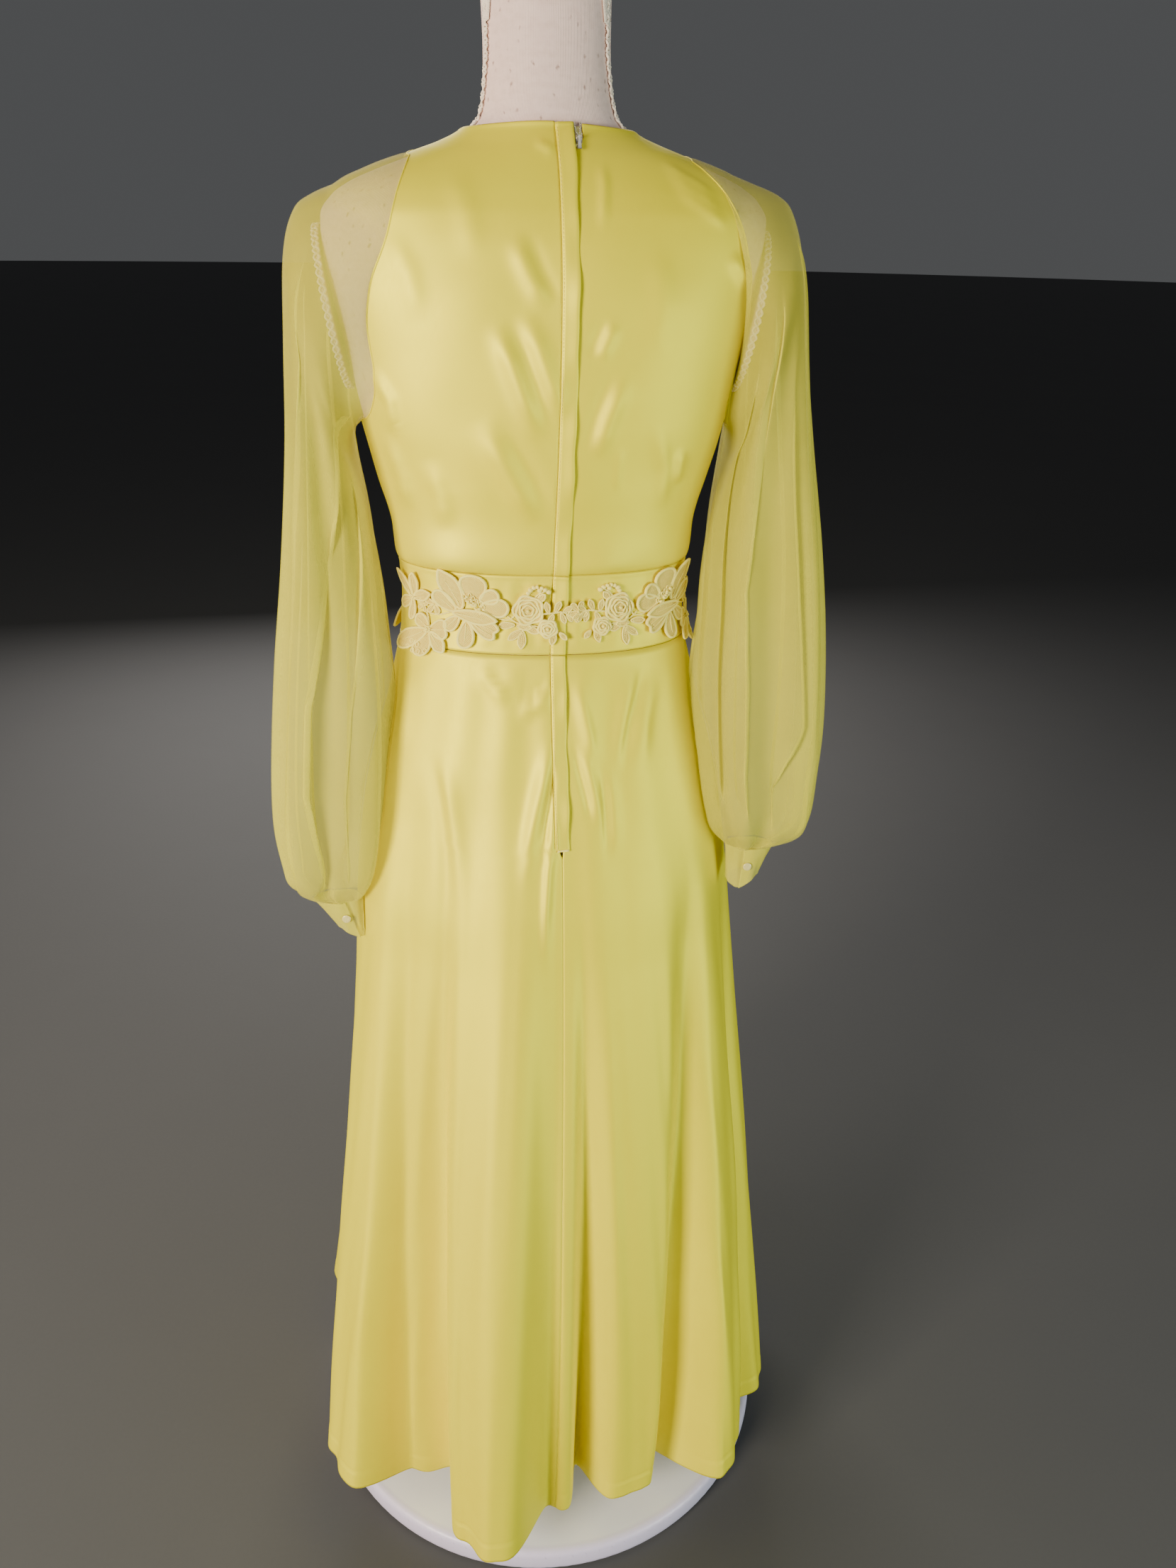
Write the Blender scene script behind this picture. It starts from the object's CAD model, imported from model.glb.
# Looks of a long satin-knit dress with sheer bishop sleeves, worn by a limbless dress form on a round base.
# Metres, +Z up. The back of the dress faces -Y.
# An angle of 0 is the centre back, and angles grow towards +X, the dress's right as seen from behind.

import math

import bpy
import numpy as np
from mathutils import Matrix, Vector


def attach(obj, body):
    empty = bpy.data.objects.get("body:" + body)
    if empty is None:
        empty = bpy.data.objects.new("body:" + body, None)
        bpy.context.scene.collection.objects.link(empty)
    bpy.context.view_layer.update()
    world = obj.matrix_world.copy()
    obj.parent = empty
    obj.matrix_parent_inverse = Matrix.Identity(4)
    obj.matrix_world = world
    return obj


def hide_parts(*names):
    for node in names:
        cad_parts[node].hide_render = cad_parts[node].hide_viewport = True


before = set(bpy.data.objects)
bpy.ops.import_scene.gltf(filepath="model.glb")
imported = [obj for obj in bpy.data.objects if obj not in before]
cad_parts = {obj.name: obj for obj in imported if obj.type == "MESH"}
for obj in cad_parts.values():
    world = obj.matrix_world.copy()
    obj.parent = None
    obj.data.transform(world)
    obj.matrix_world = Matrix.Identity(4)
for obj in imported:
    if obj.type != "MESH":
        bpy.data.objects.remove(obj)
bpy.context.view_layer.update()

MM = 0.001
TURN = 2 * math.pi
QUARTER = math.pi / 2
STEP = 0.0005

# The dress's own sizes, as its solids have them
SATIN_WALL = 0.0009
CHIFFON_WALL = 0.0004
CLOTH_LIFT = 0.0014
DRESS_LIFT = 0.0026
FORM_CLEAR = 0.0010
SEAM = 0.00008
NAPE = 1.4845
NECK_SIDE = 1.4795
NECK_FRONT = 1.452
ARM_TOP = 1.4615
ARM_LOW = 1.245
BAND_TOP = 1.122
BAND_LOW = 1.048
BODICE_LOW = 1.1220
ZIP_END = 0.862
HEM = 0.075
BASE_RADIUS = 0.278
BASE_HEIGHT = 0.030
TORSO_LOW = 0.840
NECK_TOP = 1.590

ZIP_LINE = MM * np.array((
    (862, 20.5), (950, 18.5), (1048, 17), (1122, 19.5), (1250, 23.5), (1360, 25), (1440, 23.5),
    (1485, 20.5),
))
LAP_WIDTH = 0.0142
LAP_LIFT = 0.0012
LAP_STEPS = (0, 0.04, 0.09, 0.14, 0.20, 0.30, 0.42, 0.54, 0.66, 0.78, 0.88, 0.94, 0.975, 1.0)
LAP_PROFILE = ((0, 0.04, 0.09, 0.14, 0.20, 0.90, 1.0), (0, 0.0007, 0.0013, 0.0015, 0.0016, 0.0022, 0.0016))
STITCH_PLACE = 0.085
RIGHT_UNDER_LAP = -0.0050
RIGHT_AT_NECK = 0.0076
NECK_OPENING = 0.030
TAPE_LEFT = -0.0106
TAPE_RIGHT = -0.0058
TAPE_AT_NECK = 0.0068
TAPE_WALL = 0.0010

# Tables are in millimetres, degrees and shares.
# Columns: height, half_width, back, front, squareness, left_share
FORM_SECTIONS = np.array((
    (840, 166, 98, 95, 2.2, 1), (880, 168, 106, 100, 2.2, 1), (930, 163, 106, 102, 2.2, 1),
    (990, 149, 98, 99, 2.2, 1), (1048, 137, 87, 92, 2.2, 1), (1095, 134, 81, 88, 2.2, 1),
    (1150, 139, 84, 97, 2.2, 1), (1200, 152, 91, 115, 2.2, 1), (1250, 164, 97, 128, 2.3, 1),
    (1300, 174, 100, 120, 2.4, 1), (1350, 185, 99, 103, 2.5, 1), (1390, 193, 94, 90, 2.5, 0.99),
    (1415, 194, 88, 80, 2.5, 0.98), (1430, 186, 82, 72, 2.4, 0.965), (1440, 173, 77, 66, 2.3, 0.95),
    (1450, 152, 71, 61, 2.2, 0.925), (1460, 124, 64, 56, 2.1, 0.91), (1470, 95, 56, 52, 2, 0.9),
    (1480, 74, 49, 50, 2, 0.89), (1490, 63.5, 46, 51, 2, 0.88), (1510, 58, 44.5, 52, 2, 0.89),
    (1550, 56, 44, 53, 2, 0.91), (1590, 56, 45, 54, 2, 0.94),
)) * (MM, MM, MM, MM, 1, 1)
SKIRT_SECTIONS = np.array((
    (75, 264, 240, 255, 2, 0.95), (260, 246, 222, 232, 2, 0.95), (450, 229, 195, 205, 2, 0.96),
    (614, 213, 170, 180, 2, 0.98), (725, 203, 152, 162, 2, 0.99), (800, 195, 140, 148, 2.1, 1),
    (870, 185, 126, 132, 2.1, 1), (930, 171, 114, 117, 2.2, 1), (990, 153, 101, 103, 2.2, 1),
    (1048, 139.6, 89.6, 94.6, 2.2, 1),
)) * (MM, MM, MM, MM, 1, 1)

# Crests and valleys of the skirt's folds. Columns: hem_angle, hip_angle, hem_radius, start_height
SKIRT_FOLDS = np.array((
    (-90, -97, 258, 880), (-71, -84, 257, 850), (-55, -69, 313, 920), (-46, -60, 320, 920),
    (-39.5, -51, 252, 850), (-30, -40, 220, 860), (-19, -29.5, 308, 900), (-11.5, -13, 330, 920),
    (-1, 3, 250, 800), (3.5, 7.2, 258, 820), (9, 13.5, 200, 780), (17, 24, 260, 850), (25, 43, 262, 860),
    (32.5, 53, 216, 820), (40.5, 61, 311, 840), (50, 69, 297, 850), (60, 76, 266, 600),
    (66.5, 81, 294, 860), (86, 94, 254, 800), (106, 108, 302, 900), (124, 124, 232, 800),
    (143, 143, 300, 900), (160, 160, 232, 780), (179, 179, 308, 920), (198, 198, 230, 800),
    (214, 214, 290, 860), (231, 230, 236, 820), (249, 246, 302, 900), (261, 256, 246, 800),
)) * (1, 1, MM, MM)
CREASE_END = 0.35
BODICE_CREASING = 1.25
HEM_DEPTH = 0.021
HIP_HEIGHT = 0.72
FOLD_GROWTH = 1.25
SIDE_SEAM = math.radians(88)
CENTRE_SEAM_TOP = math.radians(6.0)
CENTRE_SEAM_HEM = math.radians(1.0)

# Columns: height, back_left, back_right, front
ARMHOLE_SEAM = MM * np.array((
    (1245, 164, 164, 164), (1262, 152, 166.5, 153), (1285, 147, 172, 143), (1330, 151, 178, 135),
    (1360, 147, 177, 129), (1398, 132, 168, 124), (1430, 123, 152, 121.5), (1450, 116, 134, 119),
    (1461.5, 112, 118, 115),
))
ARM_ROWS = MM * np.array((
    1245, 1253, 1266, 1286, 1314, 1344, 1374, 1400, 1422, 1438, 1449, 1456.5, 1461.5))

# Columns: outer_left, outer_right, outer_z, inner_x, inner_z, half_depth, centre_y, fold
SLEEVE_SECTIONS = MM * np.array((
    (148, 150, 1456, 170, 1242, 83, 0, 0), (177, 184, 1444, 174, 1236, 84, 0, 0),
    (197, 206, 1430, 175, 1226, 83, 0, 0), (212, 220, 1410, 174, 1212, 80, -2, 1),
    (222, 230, 1377, 169, 1192, 74, -4, 2.2), (227, 239, 1310, 162, 1156, 66, -10, 4.2),
    (231, 250, 1220, 156, 1105, 59, -19, 6.3), (240, 263, 1118, 153, 1045, 56, -28, 8),
    (252, 272, 1020, 150, 980, 56, -37, 9), (261, 275, 925, 152, 910, 56, -49, 9.5),
    (264, 272, 860, 157, 856, 52, -56, 9.3), (260, 269, 814, 166, 818, 42, -60, 7.5),
    (256, 260, 793, 176, 796, 29, -61, 5), (238, 236, 780, 186, 782, 16, -62, 2),
))
SLEEVE_PIVOT = 1.250
SLEEVE_REACH = {"left": 1.0, "right": 0.89}
SHOULDER_DROP = {"left": 0.006, "right": 0.0}
SLEEVE_WAVES = 6
SLEEVE_FOLDING = 0.50
PLEAT_LIFT = 0.0021
SLEEVE_AROUND = 184
ARM_STEPS = 2 * (len(ARM_ROWS) - 1)
CUFF_EDGES = {
    "left": ((212, 780.5, 26, 13.5, -1), (197, 748, 18.5, 12, 0)),
    "right": ((211, 832.2, 25, 13.5, -1), (206, 796, 17, 12, 4)),
}
CUFF_Y = -0.062
CUFF_OVERLAP = 0.08
CUFF_LAP = 0.0024
BUTTON_RADIUS = 0.0045
BUTTON_HEIGHT = 0.0022
BUTTON_TURN = 1.62
BUTTON_SHARE = 0.45

PLATE_TILT = 0.16
PLATE_X = 0.1877
PLATE_Z = 1.340
PLATE_Y = 0.002
PLATE_HALF_HEIGHT = 0.067
PLATE_HALF_DEPTH = 0.052
PLATE_THICKNESS = 0.004
PLATE_INSET = 0.006

# Creases in the back of the bodice. Columns: x and z of each point of the line, half_width, rise
BACK_CREASES = (
    (-36, 1344, -20, 1314, -10, 1289, 6, 1247, 6, -1.6),
    (-47, 1340, -31, 1306, -20, 1276, -6, 1240, 8.5, 4.2), (-24, 1350, -8, 1318, 4, 1286, 12, 1258, 8, 3),
    (-47, 1268, -27, 1236, -10, 1206, 7, 1174, 8, -1.4),
    (-60, 1262, -40, 1228, -24, 1196, -8, 1168, 10.5, 3.6), (-19, 1407, -4, 1373, 10, 1351, 6, -1.2),
    (-30, 1404, -15, 1372, 0, 1346, 8.5, 2.6), (-11, 1469, 8, 1460, 4, 1.4), (48, 1342, 33, 1311, 5, -1.2),
    (56, 1340, 41, 1306, 6.5, 2.2), (57, 1305, 40, 1263, 32, 1230, 6, -1.2),
    (67, 1300, 51, 1260, 41, 1226, 8, 2.6), (62, 1240, 60, 1195, 3, 1),
    (43, 1456, 45, 1436, 43, 1403, 4.5, 1.4), (150, 1391, 173, 1363, 6, 2.2),
    (90, 1455, 142, 1430, 3.5, 1.3), (94, 1447, 146, 1420, 3.5, 1.3), (100, 1438, 150, 1409, 4, 1.2),
    (118, 1235, 115, 1199, 5, 2.2), (92, 1262, 104, 1214, 100, 1176, 7.5, 1.8),
    (-148, 1300, -132, 1272, -128, 1240, 5, 2.6), (-139, 1246, -126, 1205, -122, 1172, 6.5, 2.4),
    (-104, 1226, -92, 1192, -88, 1160, 9, 2.2), (-128, 1405, -112, 1372, -104, 1334, 9, 1.4),
    (-80, 1452, -64, 1418, -58, 1378, 11, 1.2), (88, 1400, 94, 1352, 88, 1306, 11, 1.3),
)
# Creases in its front, with x as on the back
FRONT_CREASES = (
    (-120, 1262, -84, 1243, -58, 1238, 5.5, 2.6), (-122, 1240, -88, 1222, -64, 1214, 5, 1.8),
    (124, 1258, 90, 1244, 62, 1240, 5.5, 2.4), (118, 1232, 84, 1216, 60, 1204, 6.5, 2.2),
    (-50, 1226, -42, 1188, -38, 1148, 7.5, 2.4), (46, 1230, 40, 1184, 30, 1146, 8, 2.6),
    (-8, 1236, 3, 1196, 1, 1150, 9.5, 2), (-92, 1200, -84, 1166, -82, 1140, 6.5, 2),
    (90, 1196, 86, 1160, 78, 1138, 6, 1.8), (-96, 1438, -70, 1402, -52, 1352, 8.5, 1.6),
    (100, 1434, 78, 1396, 58, 1346, 8, 1.8), (-30, 1438, 0, 1428, 32, 1437, 5.5, 1.5),
    (-112, 1372, -94, 1334, -88, 1300, 6.5, 1.8), (110, 1366, 92, 1330, 84, 1292, 7, 1.6),
    (-20, 1340, -6, 1300, -4, 1262, 7, 1.2),
)

# Pulls and small folds at the top of the skirt's back and front
SKIRT_BACK_CREASES = (
    (-24, 1002, -11, 1013, 3, 1025, 5.5, -2.6), (-31, 990, -11, 1004, 4, 1015, 6, 3.6),
    (-67, 1038, -50, 1018, -35, 1003, 7.5, 3), (-59, 1041, -39, 1018, -27, 1005, 6, -1.2),
    (4, 978, -3, 937, -11, 906, -18, 872, -24, 815, 7.5, 6.2),
    (6, 958, 4, 932, 1, 910, -3, 883, -7, 840, 3.5, -3.6),
    (7, 910, 3, 873, 0, 846, -3, 797, -3, 735, 4.5, 4.6),
    (96, 1038, 86, 1006, 80, 985, 76, 959, 73, 925, 5, -3.6),
    (105, 1032, 98, 1000, 93, 976, 90, 930, 8.5, 3.4), (84, 1034, 75, 1000, 69, 970, 65, 925, 7, 2.6),
    (25, 1028, 33, 996, 39, 971, 44, 944, 6, 3.2), (22, 968, 31, 936, 37, 913, 42, 886, 3.2, -2.8),
    (30, 968, 39, 936, 45, 910, 50, 880, 4.8, 2.6), (49, 950, 55, 912, 57, 884, 59, 845, 3.4, -2.8),
    (57, 948, 63, 912, 66, 880, 69, 845, 5.8, 2),
    (-113, 955, -105, 919, -101, 883, -99, 837, -100, 770, 8, -2.8),
    (-101, 955, -94, 915, -89, 870, -87, 790, 8.5, 2.6), (-128, 1020, -134, 985, -141, 940, 6.5, 2),
)
SKIRT_FRONT_CREASES = (
    (-45, 1034, -50, 985, -58, 930, -63, 860, 8, 4.4), (-30, 1032, -34, 985, -39, 925, 5, -2.6),
    (20, 1037, 26, 990, 34, 940, 41, 865, 8, 4), (52, 1033, 60, 985, 66, 930, 5, -2.4),
    (85, 1024, 94, 970, 101, 900, 9, 3.6), (-92, 1027, -100, 975, -108, 910, 8, 3.2),
    (-6, 1030, -2, 975, 4, 905, 4.5, -2.2),
)

# Long folds of the sleeves: turn at the top, turn at the cuff (degrees), width, rise, first ring, last ring
SLEEVE_FOLDS = {
    "left": (
        (100, 97, 7, 8.5, 3.5, 13.0), (82, 80, 7, -5.5, 3.0, 12.6), (62, 70, 8, 8, 2.5, 12.2),
        (40, 52, 8, -4.5, 3.5, 12.5), (122, 120, 8, -5, 4.5, 12.8), (140, 142, 8, 6, 5.0, 12.8),
        (22, 30, 8, 4.8, 5.5, 12.8), (206, 212, 9, 7, 3.5, 12.8), (236, 232, 8, -5, 4.0, 12.5),
        (262, 256, 9, 8.2, 3.0, 12.9), (290, 286, 8, -5.2, 4.0, 12.6), (316, 310, 9, 7.2, 4.0, 12.8),
        (342, 338, 8, -4, 5.0, 12.5),
    ),
    "right": (
        (118, 110, 7, 8.5, 2.5, 12.9), (98, 92, 7, -5.5, 3.0, 12.6), (76, 72, 8, 7.5, 4.0, 12.6),
        (52, 48, 8, -4.2, 3.5, 12.5), (140, 134, 8, -4.8, 4.0, 12.8), (158, 154, 8, 5.5, 5.0, 12.8),
        (30, 24, 8, 6.2, 5.0, 12.8), (200, 206, 9, 6.6, 3.5, 12.8), (228, 226, 8, -5, 4.5, 12.5),
        (252, 250, 9, 8, 3.5, 12.9), (280, 280, 8, -5, 4.0, 12.6), (306, 304, 9, 7, 4.0, 12.8),
        (334, 330, 8, -4.2, 5.0, 12.5),
    ),
}

# Where the sleeves' cloth doubles back over itself: ring and turn (degrees) along each line, its half width in
# degrees, its overlap, and the side that lies on top
SLEEVE_PLEATS = {
    "left": (
        (((1.4, 132), (2.2, 148), (4.3, 128), (6.5, 106), (7.7, 84), (9.1, 67), (10.1, 67), (11.3, 78), (12.7, 84)),
         11, 2.1, -1),
        (((4.4, 152), (6.0, 139), (7.2, 128), (9.0, 110), (10.1, 106), (11.7, 110), (12.8, 112)), 9, 2.0, 1),
        (((2.7, 32), (3.5, 56), (5.3, 70), (6.6, 58), (8.2, 34), (9.8, 36), (11.5, 48), (12.6, 52)), 9, 1.8, 1),
        (((2.4, 242), (4.0, 236), (7.0, 228), (10.0, 222), (12.7, 226)), 11, 2.0, 1),
        (((3.4, 282), (6.0, 274), (9.0, 262), (12.6, 258)), 9, 2.0, -1),
        (((4.0, 318), (7.0, 312), (10.0, 300), (12.7, 296)), 10, 1.8, 1),
        (((6.2, 190), (8.5, 184), (11.0, 180), (12.8, 176)), 8, 1.8, -1),
    ),
    "right": (
        (((1.9, 92), (2.4, 110), (3.4, 132), (4.5, 148), (7.8, 145), (10.2, 142), (11.8, 140)), 10, 2.1, 1),
        (((2.6, 74), (3.6, 80), (4.9, 95), (6.4, 104), (7.7, 113), (9.1, 110), (10.4, 111), (12.0, 108)), 9, 2.0, -1),
        (((5.0, 62), (6.5, 64), (8.3, 62), (9.8, 58), (10.8, 82), (12.4, 80)), 9, 1.9, 1),
        (((3.0, 36), (5.0, 34), (8.0, 26), (11.0, 24), (12.8, 30)), 10, 1.8, 1),
        (((2.6, 236), (5.0, 228), (8.0, 222), (12.6, 214)), 11, 2.0, -1),
        (((3.2, 276), (6.0, 270), (9.0, 256), (12.7, 252)), 9, 2.0, 1),
        (((4.4, 316), (7.0, 306), (10.0, 298), (12.6, 292)), 10, 1.9, -1),
        (((7.0, 188), (9.0, 182), (12.7, 176)), 8, 1.8, 1),
    ),
}
# How far each ring near the shoulder is drawn out to a corner over the end of the form: outwards and up
SLEEVE_CORNER = {
    "left": {2: (3, 5), 3: (0, 12.5), 4: (0.5, 6)},
    "right": {2: (1.5, 4.5), 3: (-2, 10), 4: (0, 5)},
}


# Curves and level sections

class Curve:
    """A smooth curve through a table's values that never overshoots them."""

    def __init__(self, keys, values):
        self.keys = np.array(keys, float)
        self.values = np.array(values, float)
        self.steps = np.diff(self.keys)
        slopes = np.diff(self.values) / self.steps
        self.tangents = np.zeros(len(self.keys))
        self.tangents[0], self.tangents[-1] = slopes[0], slopes[-1]
        for k in range(1, len(slopes)):
            if slopes[k - 1] * slopes[k] > 0:
                self.tangents[k] = 2 * slopes[k - 1] * slopes[k] / (slopes[k - 1] + slopes[k])

    def __call__(self, at):
        k = np.clip(np.searchsorted(self.keys, at, side="right") - 1, 0, len(self.steps) - 1)
        t = np.clip((at - self.keys[k]) / self.steps[k], 0, 1)
        rise = self.values[k + 1] - self.values[k]
        first = self.steps[k] * self.tangents[k]
        last = self.steps[k] * self.tangents[k + 1]
        bend = t * t * (3 * rise - 2 * first - last) + t ** 3 * (first + last - 2 * rise)
        return self.values[k] + t * first + bend


def table_curves(rows, names):
    columns = rows.T
    return {name: Curve(columns[0], column) for name, column in zip(names, columns[1:])}


class Sections:
    """Level sections of a body, read at any height as a radius round the upright axis."""

    def __init__(self, rows):
        self.at = table_curves(rows, ("half_width", "back", "front", "squareness", "left_share"))

    def width(self, angle, height):
        share = np.where(np.sin(angle) < 0, self.at["left_share"](height), 1.0)
        return self.at["half_width"](height) * share

    def radius(self, angle, height):
        power = self.at["squareness"](height)
        depth = np.where(np.cos(angle) > 0, self.at["back"](height), self.at["front"](height))
        across = np.abs(np.sin(angle)) / self.width(angle, height)
        along = np.abs(np.cos(angle)) / depth
        return (across ** power + along ** power) ** (-1 / power)


FORM = Sections(FORM_SECTIONS)
SKIRT = Sections(SKIRT_SECTIONS)
ZIP = Curve(*ZIP_LINE.T)
ARMHOLE = table_curves(ARMHOLE_SEAM, ("back_left", "back_right", "front"))
HEM_TURNS = np.radians(SKIRT_FOLDS[:, 0])
HIP_TURNS = np.radians(SKIRT_FOLDS[:, 1])
HEM_SWINGS = SKIRT_FOLDS[:, 2] - SKIRT.radius(HEM_TURNS, HEM)
FOLD_STARTS = SKIRT_FOLDS[:, 3]


def eased(value):
    """From 0 to 1, flat at both ends."""
    value = np.clip(value, 0, 1)
    return value * value * (3 - 2 * value)


def bell(value, middle, width):
    """1 in the middle, falling off to both sides."""
    return np.exp(-((value - middle) / width) ** 2)


def turned_from(turn, centre):
    """The shorter way round from a centre to a turn, in radians."""
    return np.mod(turn - centre + math.pi, TURN) - math.pi


def in_stretches(ends, counts):
    """Places along a line that is divided more or less finely from stretch to stretch."""
    parts = [np.linspace(start, end, count)[1:] for start, end, count in zip(ends, ends[1:], counts)]
    return np.concatenate([[ends[0]], *parts])


def unit(ways):
    return ways / np.maximum(np.linalg.norm(ways, axis=-1, keepdims=True), 1e-12)


def polar(angle, radius, height):
    return np.stack(np.broadcast_arrays(radius * np.sin(angle), -radius * np.cos(angle), height), axis=-1)


def way_out(angle, height, radius_at):
    """The direction straight out of a body of rings, before it is made a unit long."""
    radius = radius_at(angle, height)
    turn = (radius_at(angle + STEP, height) - radius_at(angle - STEP, height)) / (2 * STEP * radius)
    slope = (radius_at(angle, height + STEP) - radius_at(angle, height - STEP)) / (2 * STEP)
    sine, cosine = np.sin(angle), np.cos(angle)
    return np.stack([sine - turn * cosine, -cosine - turn * sine, -slope], axis=-1)


def surface(angle, height, lift, radius_at=FORM.radius):
    """Points over a body of rings, lifted straight out from it."""
    angle, height = np.broadcast_arrays(np.asarray(angle, float), np.asarray(height, float))
    lift = np.broadcast_to(np.asarray(lift, float), angle.shape)
    return polar(angle, radius_at(angle, height), height) + lift[..., None] * unit(way_out(angle, height, radius_at))


def pushed_clear(points, radius_at, clearance):
    """Points moved out where they lie closer to a body than a clearance."""
    for _ in range(3):
        angle = np.arctan2(points[..., 0], -points[..., 1])
        height = points[..., 2]
        way = way_out(angle, height, radius_at)
        size = np.linalg.norm(way, axis=-1)
        gap = (np.hypot(points[..., 0], points[..., 1]) - radius_at(angle, height)) / size
        push = np.maximum(clearance - gap, 0)
        points = points + (push / size)[..., None] * way
    return points


# The skirt's folds

def fold_nodes(height):
    """The folds' angles and swings at each height, along a last axis, with the first one again at the end."""
    height = np.asarray(height, float)[..., None]
    share = np.clip((HIP_HEIGHT - height) / (HIP_HEIGHT - HEM), -0.4, 1.0)
    angles = HIP_TURNS + (HEM_TURNS - HIP_TURNS) * share
    swings = HEM_SWINGS * (np.maximum(FOLD_STARTS - height, 0) / (FOLD_STARTS - HEM)) ** FOLD_GROWTH
    angles = np.concatenate([angles, angles[..., :1] + TURN], axis=-1)
    return angles, np.concatenate([swings, swings[..., :1]], axis=-1)


def taken(values, place):
    return np.take_along_axis(values, place[..., None], axis=-1)[..., 0]


def fold_swing(angle, height, breadth=1.0):
    """How far the folds stand out. A breadth over 1 gives broad crests and narrow valleys."""
    angle, height = np.broadcast_arrays(np.asarray(angle, float), np.asarray(height, float))
    angles, swings = fold_nodes(height)
    angle = angles[..., 0] + np.mod(angle - angles[..., 0], TURN)
    place = np.clip(np.sum(angles <= angle[..., None], axis=-1) - 1, 0, len(HEM_TURNS) - 1)
    first, last = taken(angles, place), taken(angles, place + 1)
    one, other = taken(swings, place), taken(swings, place + 1)
    share = (1 - np.cos(math.pi * (angle - first) / (last - first))) / 2
    climb = np.where(other > one, share, 1 - share)
    return np.minimum(one, other) + np.abs(other - one) * (1 - (1 - climb) ** breadth)


def skirt_radius(angle, height):
    plain = SKIRT.radius(angle, height)
    over_form = FORM.radius(angle, np.maximum(height, TORSO_LOW)) + DRESS_LIFT
    plain = np.where(np.asarray(height) < TORSO_LOW, plain, np.maximum(plain, over_form))
    return plain + fold_swing(angle, height)


def dress_radius(angle, height):
    return np.where(
        np.asarray(height) >= BAND_LOW, FORM.radius(angle, height) + DRESS_LIFT, skirt_radius(angle, height))


def crease_rise(x, z, creases):
    """Soft ridges and valleys along short lines, each fading out at its ends."""
    total = np.zeros(np.shape(x))
    for *line, half_width, rise in creases:
        line = MM * np.reshape(line, (-1, 2))
        best = np.full(np.shape(x), 1.0)
        along = np.zeros(np.shape(x))
        for k, ((x0, z0), (x1, z1)) in enumerate(zip(line, line[1:])):
            dx, dz = x1 - x0, z1 - z0
            share = np.clip(((x - x0) * dx + (z - z0) * dz) / (dx * dx + dz * dz), 0, 1)
            gap = np.hypot(x - x0 - share * dx, z - z0 - share * dz)
            nearer = gap < best
            best = np.where(nearer, gap, best)
            along = np.where(nearer, (k + share) / (len(line) - 1), along)
        fade = eased(along / CREASE_END) * eased((1 - along) / CREASE_END)
        total += MM * rise * bell(best, 0, MM * half_width) * fade
    return total


def rippled_radius(angle, height):
    """The skirt with the small ripples that run down between its folds."""
    fall = np.clip((0.93 - np.asarray(height)) / 0.85, 0, 1)
    ripple = 0.0016 * np.sin(23 * angle + 0.6 + 2.0 * fall) * fall
    ripple = ripple + 0.0010 * np.sin(41 * angle + 2.1 - 3.0 * fall) * fall ** 1.3
    ripple = ripple + 0.0006 * np.sin(67 * angle + 0.3 + 5.0 * fall) * fall ** 1.6
    soft = 0.0009 * np.sin(17 * angle + 1.7) * eased((1.045 - np.asarray(height)) / 0.03) * (1 - fall)
    plain = skirt_radius(angle, height)
    x = plain * np.sin(angle)
    back, front = eased(np.cos(angle) / 0.3), eased(-np.cos(angle) / 0.3)
    creases = crease_rise(x, height, SKIRT_BACK_CREASES) * back
    creases = creases + crease_rise(x, height, SKIRT_FRONT_CREASES) * front
    crests = fold_swing(angle, height, 1.3) - fold_swing(angle, height)
    radius = plain + ripple + soft + creases + crests
    over_form = FORM.radius(angle, np.maximum(height, TORSO_LOW)) + 0.0019
    return np.where(np.asarray(height) < TORSO_LOW, radius, np.maximum(radius, over_form))


def looks_radius(angle, height):
    """The outside of the dress with its small folds."""
    above = FORM.radius(angle, height) + DRESS_LIFT + 0.003
    return np.where(np.asarray(height) >= BAND_LOW, above, rippled_radius(angle, height))


def angle_at(x, height, radius_at=FORM.radius):
    """The angle on the back where the surface lies at a distance x from the middle."""
    angle = np.zeros(np.broadcast(x, height).shape)
    for _ in range(12):
        angle = np.arcsin(np.clip(x / radius_at(angle, height), -1, 1))
    return angle


# Pieces

def own_collection():
    made = bpy.data.collections.new("maxi_dress_looks")
    bpy.context.scene.collection.children.link(made)
    return made


LOOKS = own_collection()


def made_active(piece):
    bpy.ops.object.select_all(action="DESELECT")
    piece.select_set(True)
    bpy.context.view_layer.objects.active = piece


def edited(piece, operator, **settings):
    """Put an operator to all of a piece in edit mode."""
    made_active(piece)
    bpy.ops.object.mode_set(mode="EDIT")
    bpy.ops.mesh.select_all(action="SELECT")
    operator(**settings)
    bpy.ops.object.mode_set(mode="OBJECT")


def rounded(size, bevel, segments):
    """The new primitive at its size, with rounded edges."""
    made = bpy.context.active_object
    made.scale = size
    bpy.ops.object.transform_apply(location=True, rotation=False, scale=True)
    edited(made, bpy.ops.mesh.bevel, offset=bevel, segments=segments, affect="EDGES")
    return made


def rounded_disc(sides, size, place, bevel, segments):
    bpy.ops.object.select_all(action="DESELECT")
    bpy.ops.mesh.primitive_cylinder_add(vertices=sides, radius=1, depth=1, end_fill_type="NGON", location=place)
    return rounded(size, bevel, segments)


def rounded_block(size, place, bevel, segments=2):
    bpy.ops.object.select_all(action="DESELECT")
    bpy.ops.mesh.primitive_cube_add(size=1, location=place)
    return rounded(size, bevel, segments)


def seated(piece, slot, *nodes, body="dress_and_form"):
    """Say which body a piece rides on, whose finish it has and which solids it stands for."""
    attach(piece, body)
    if nodes:
        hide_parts(*nodes)
    return piece


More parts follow.
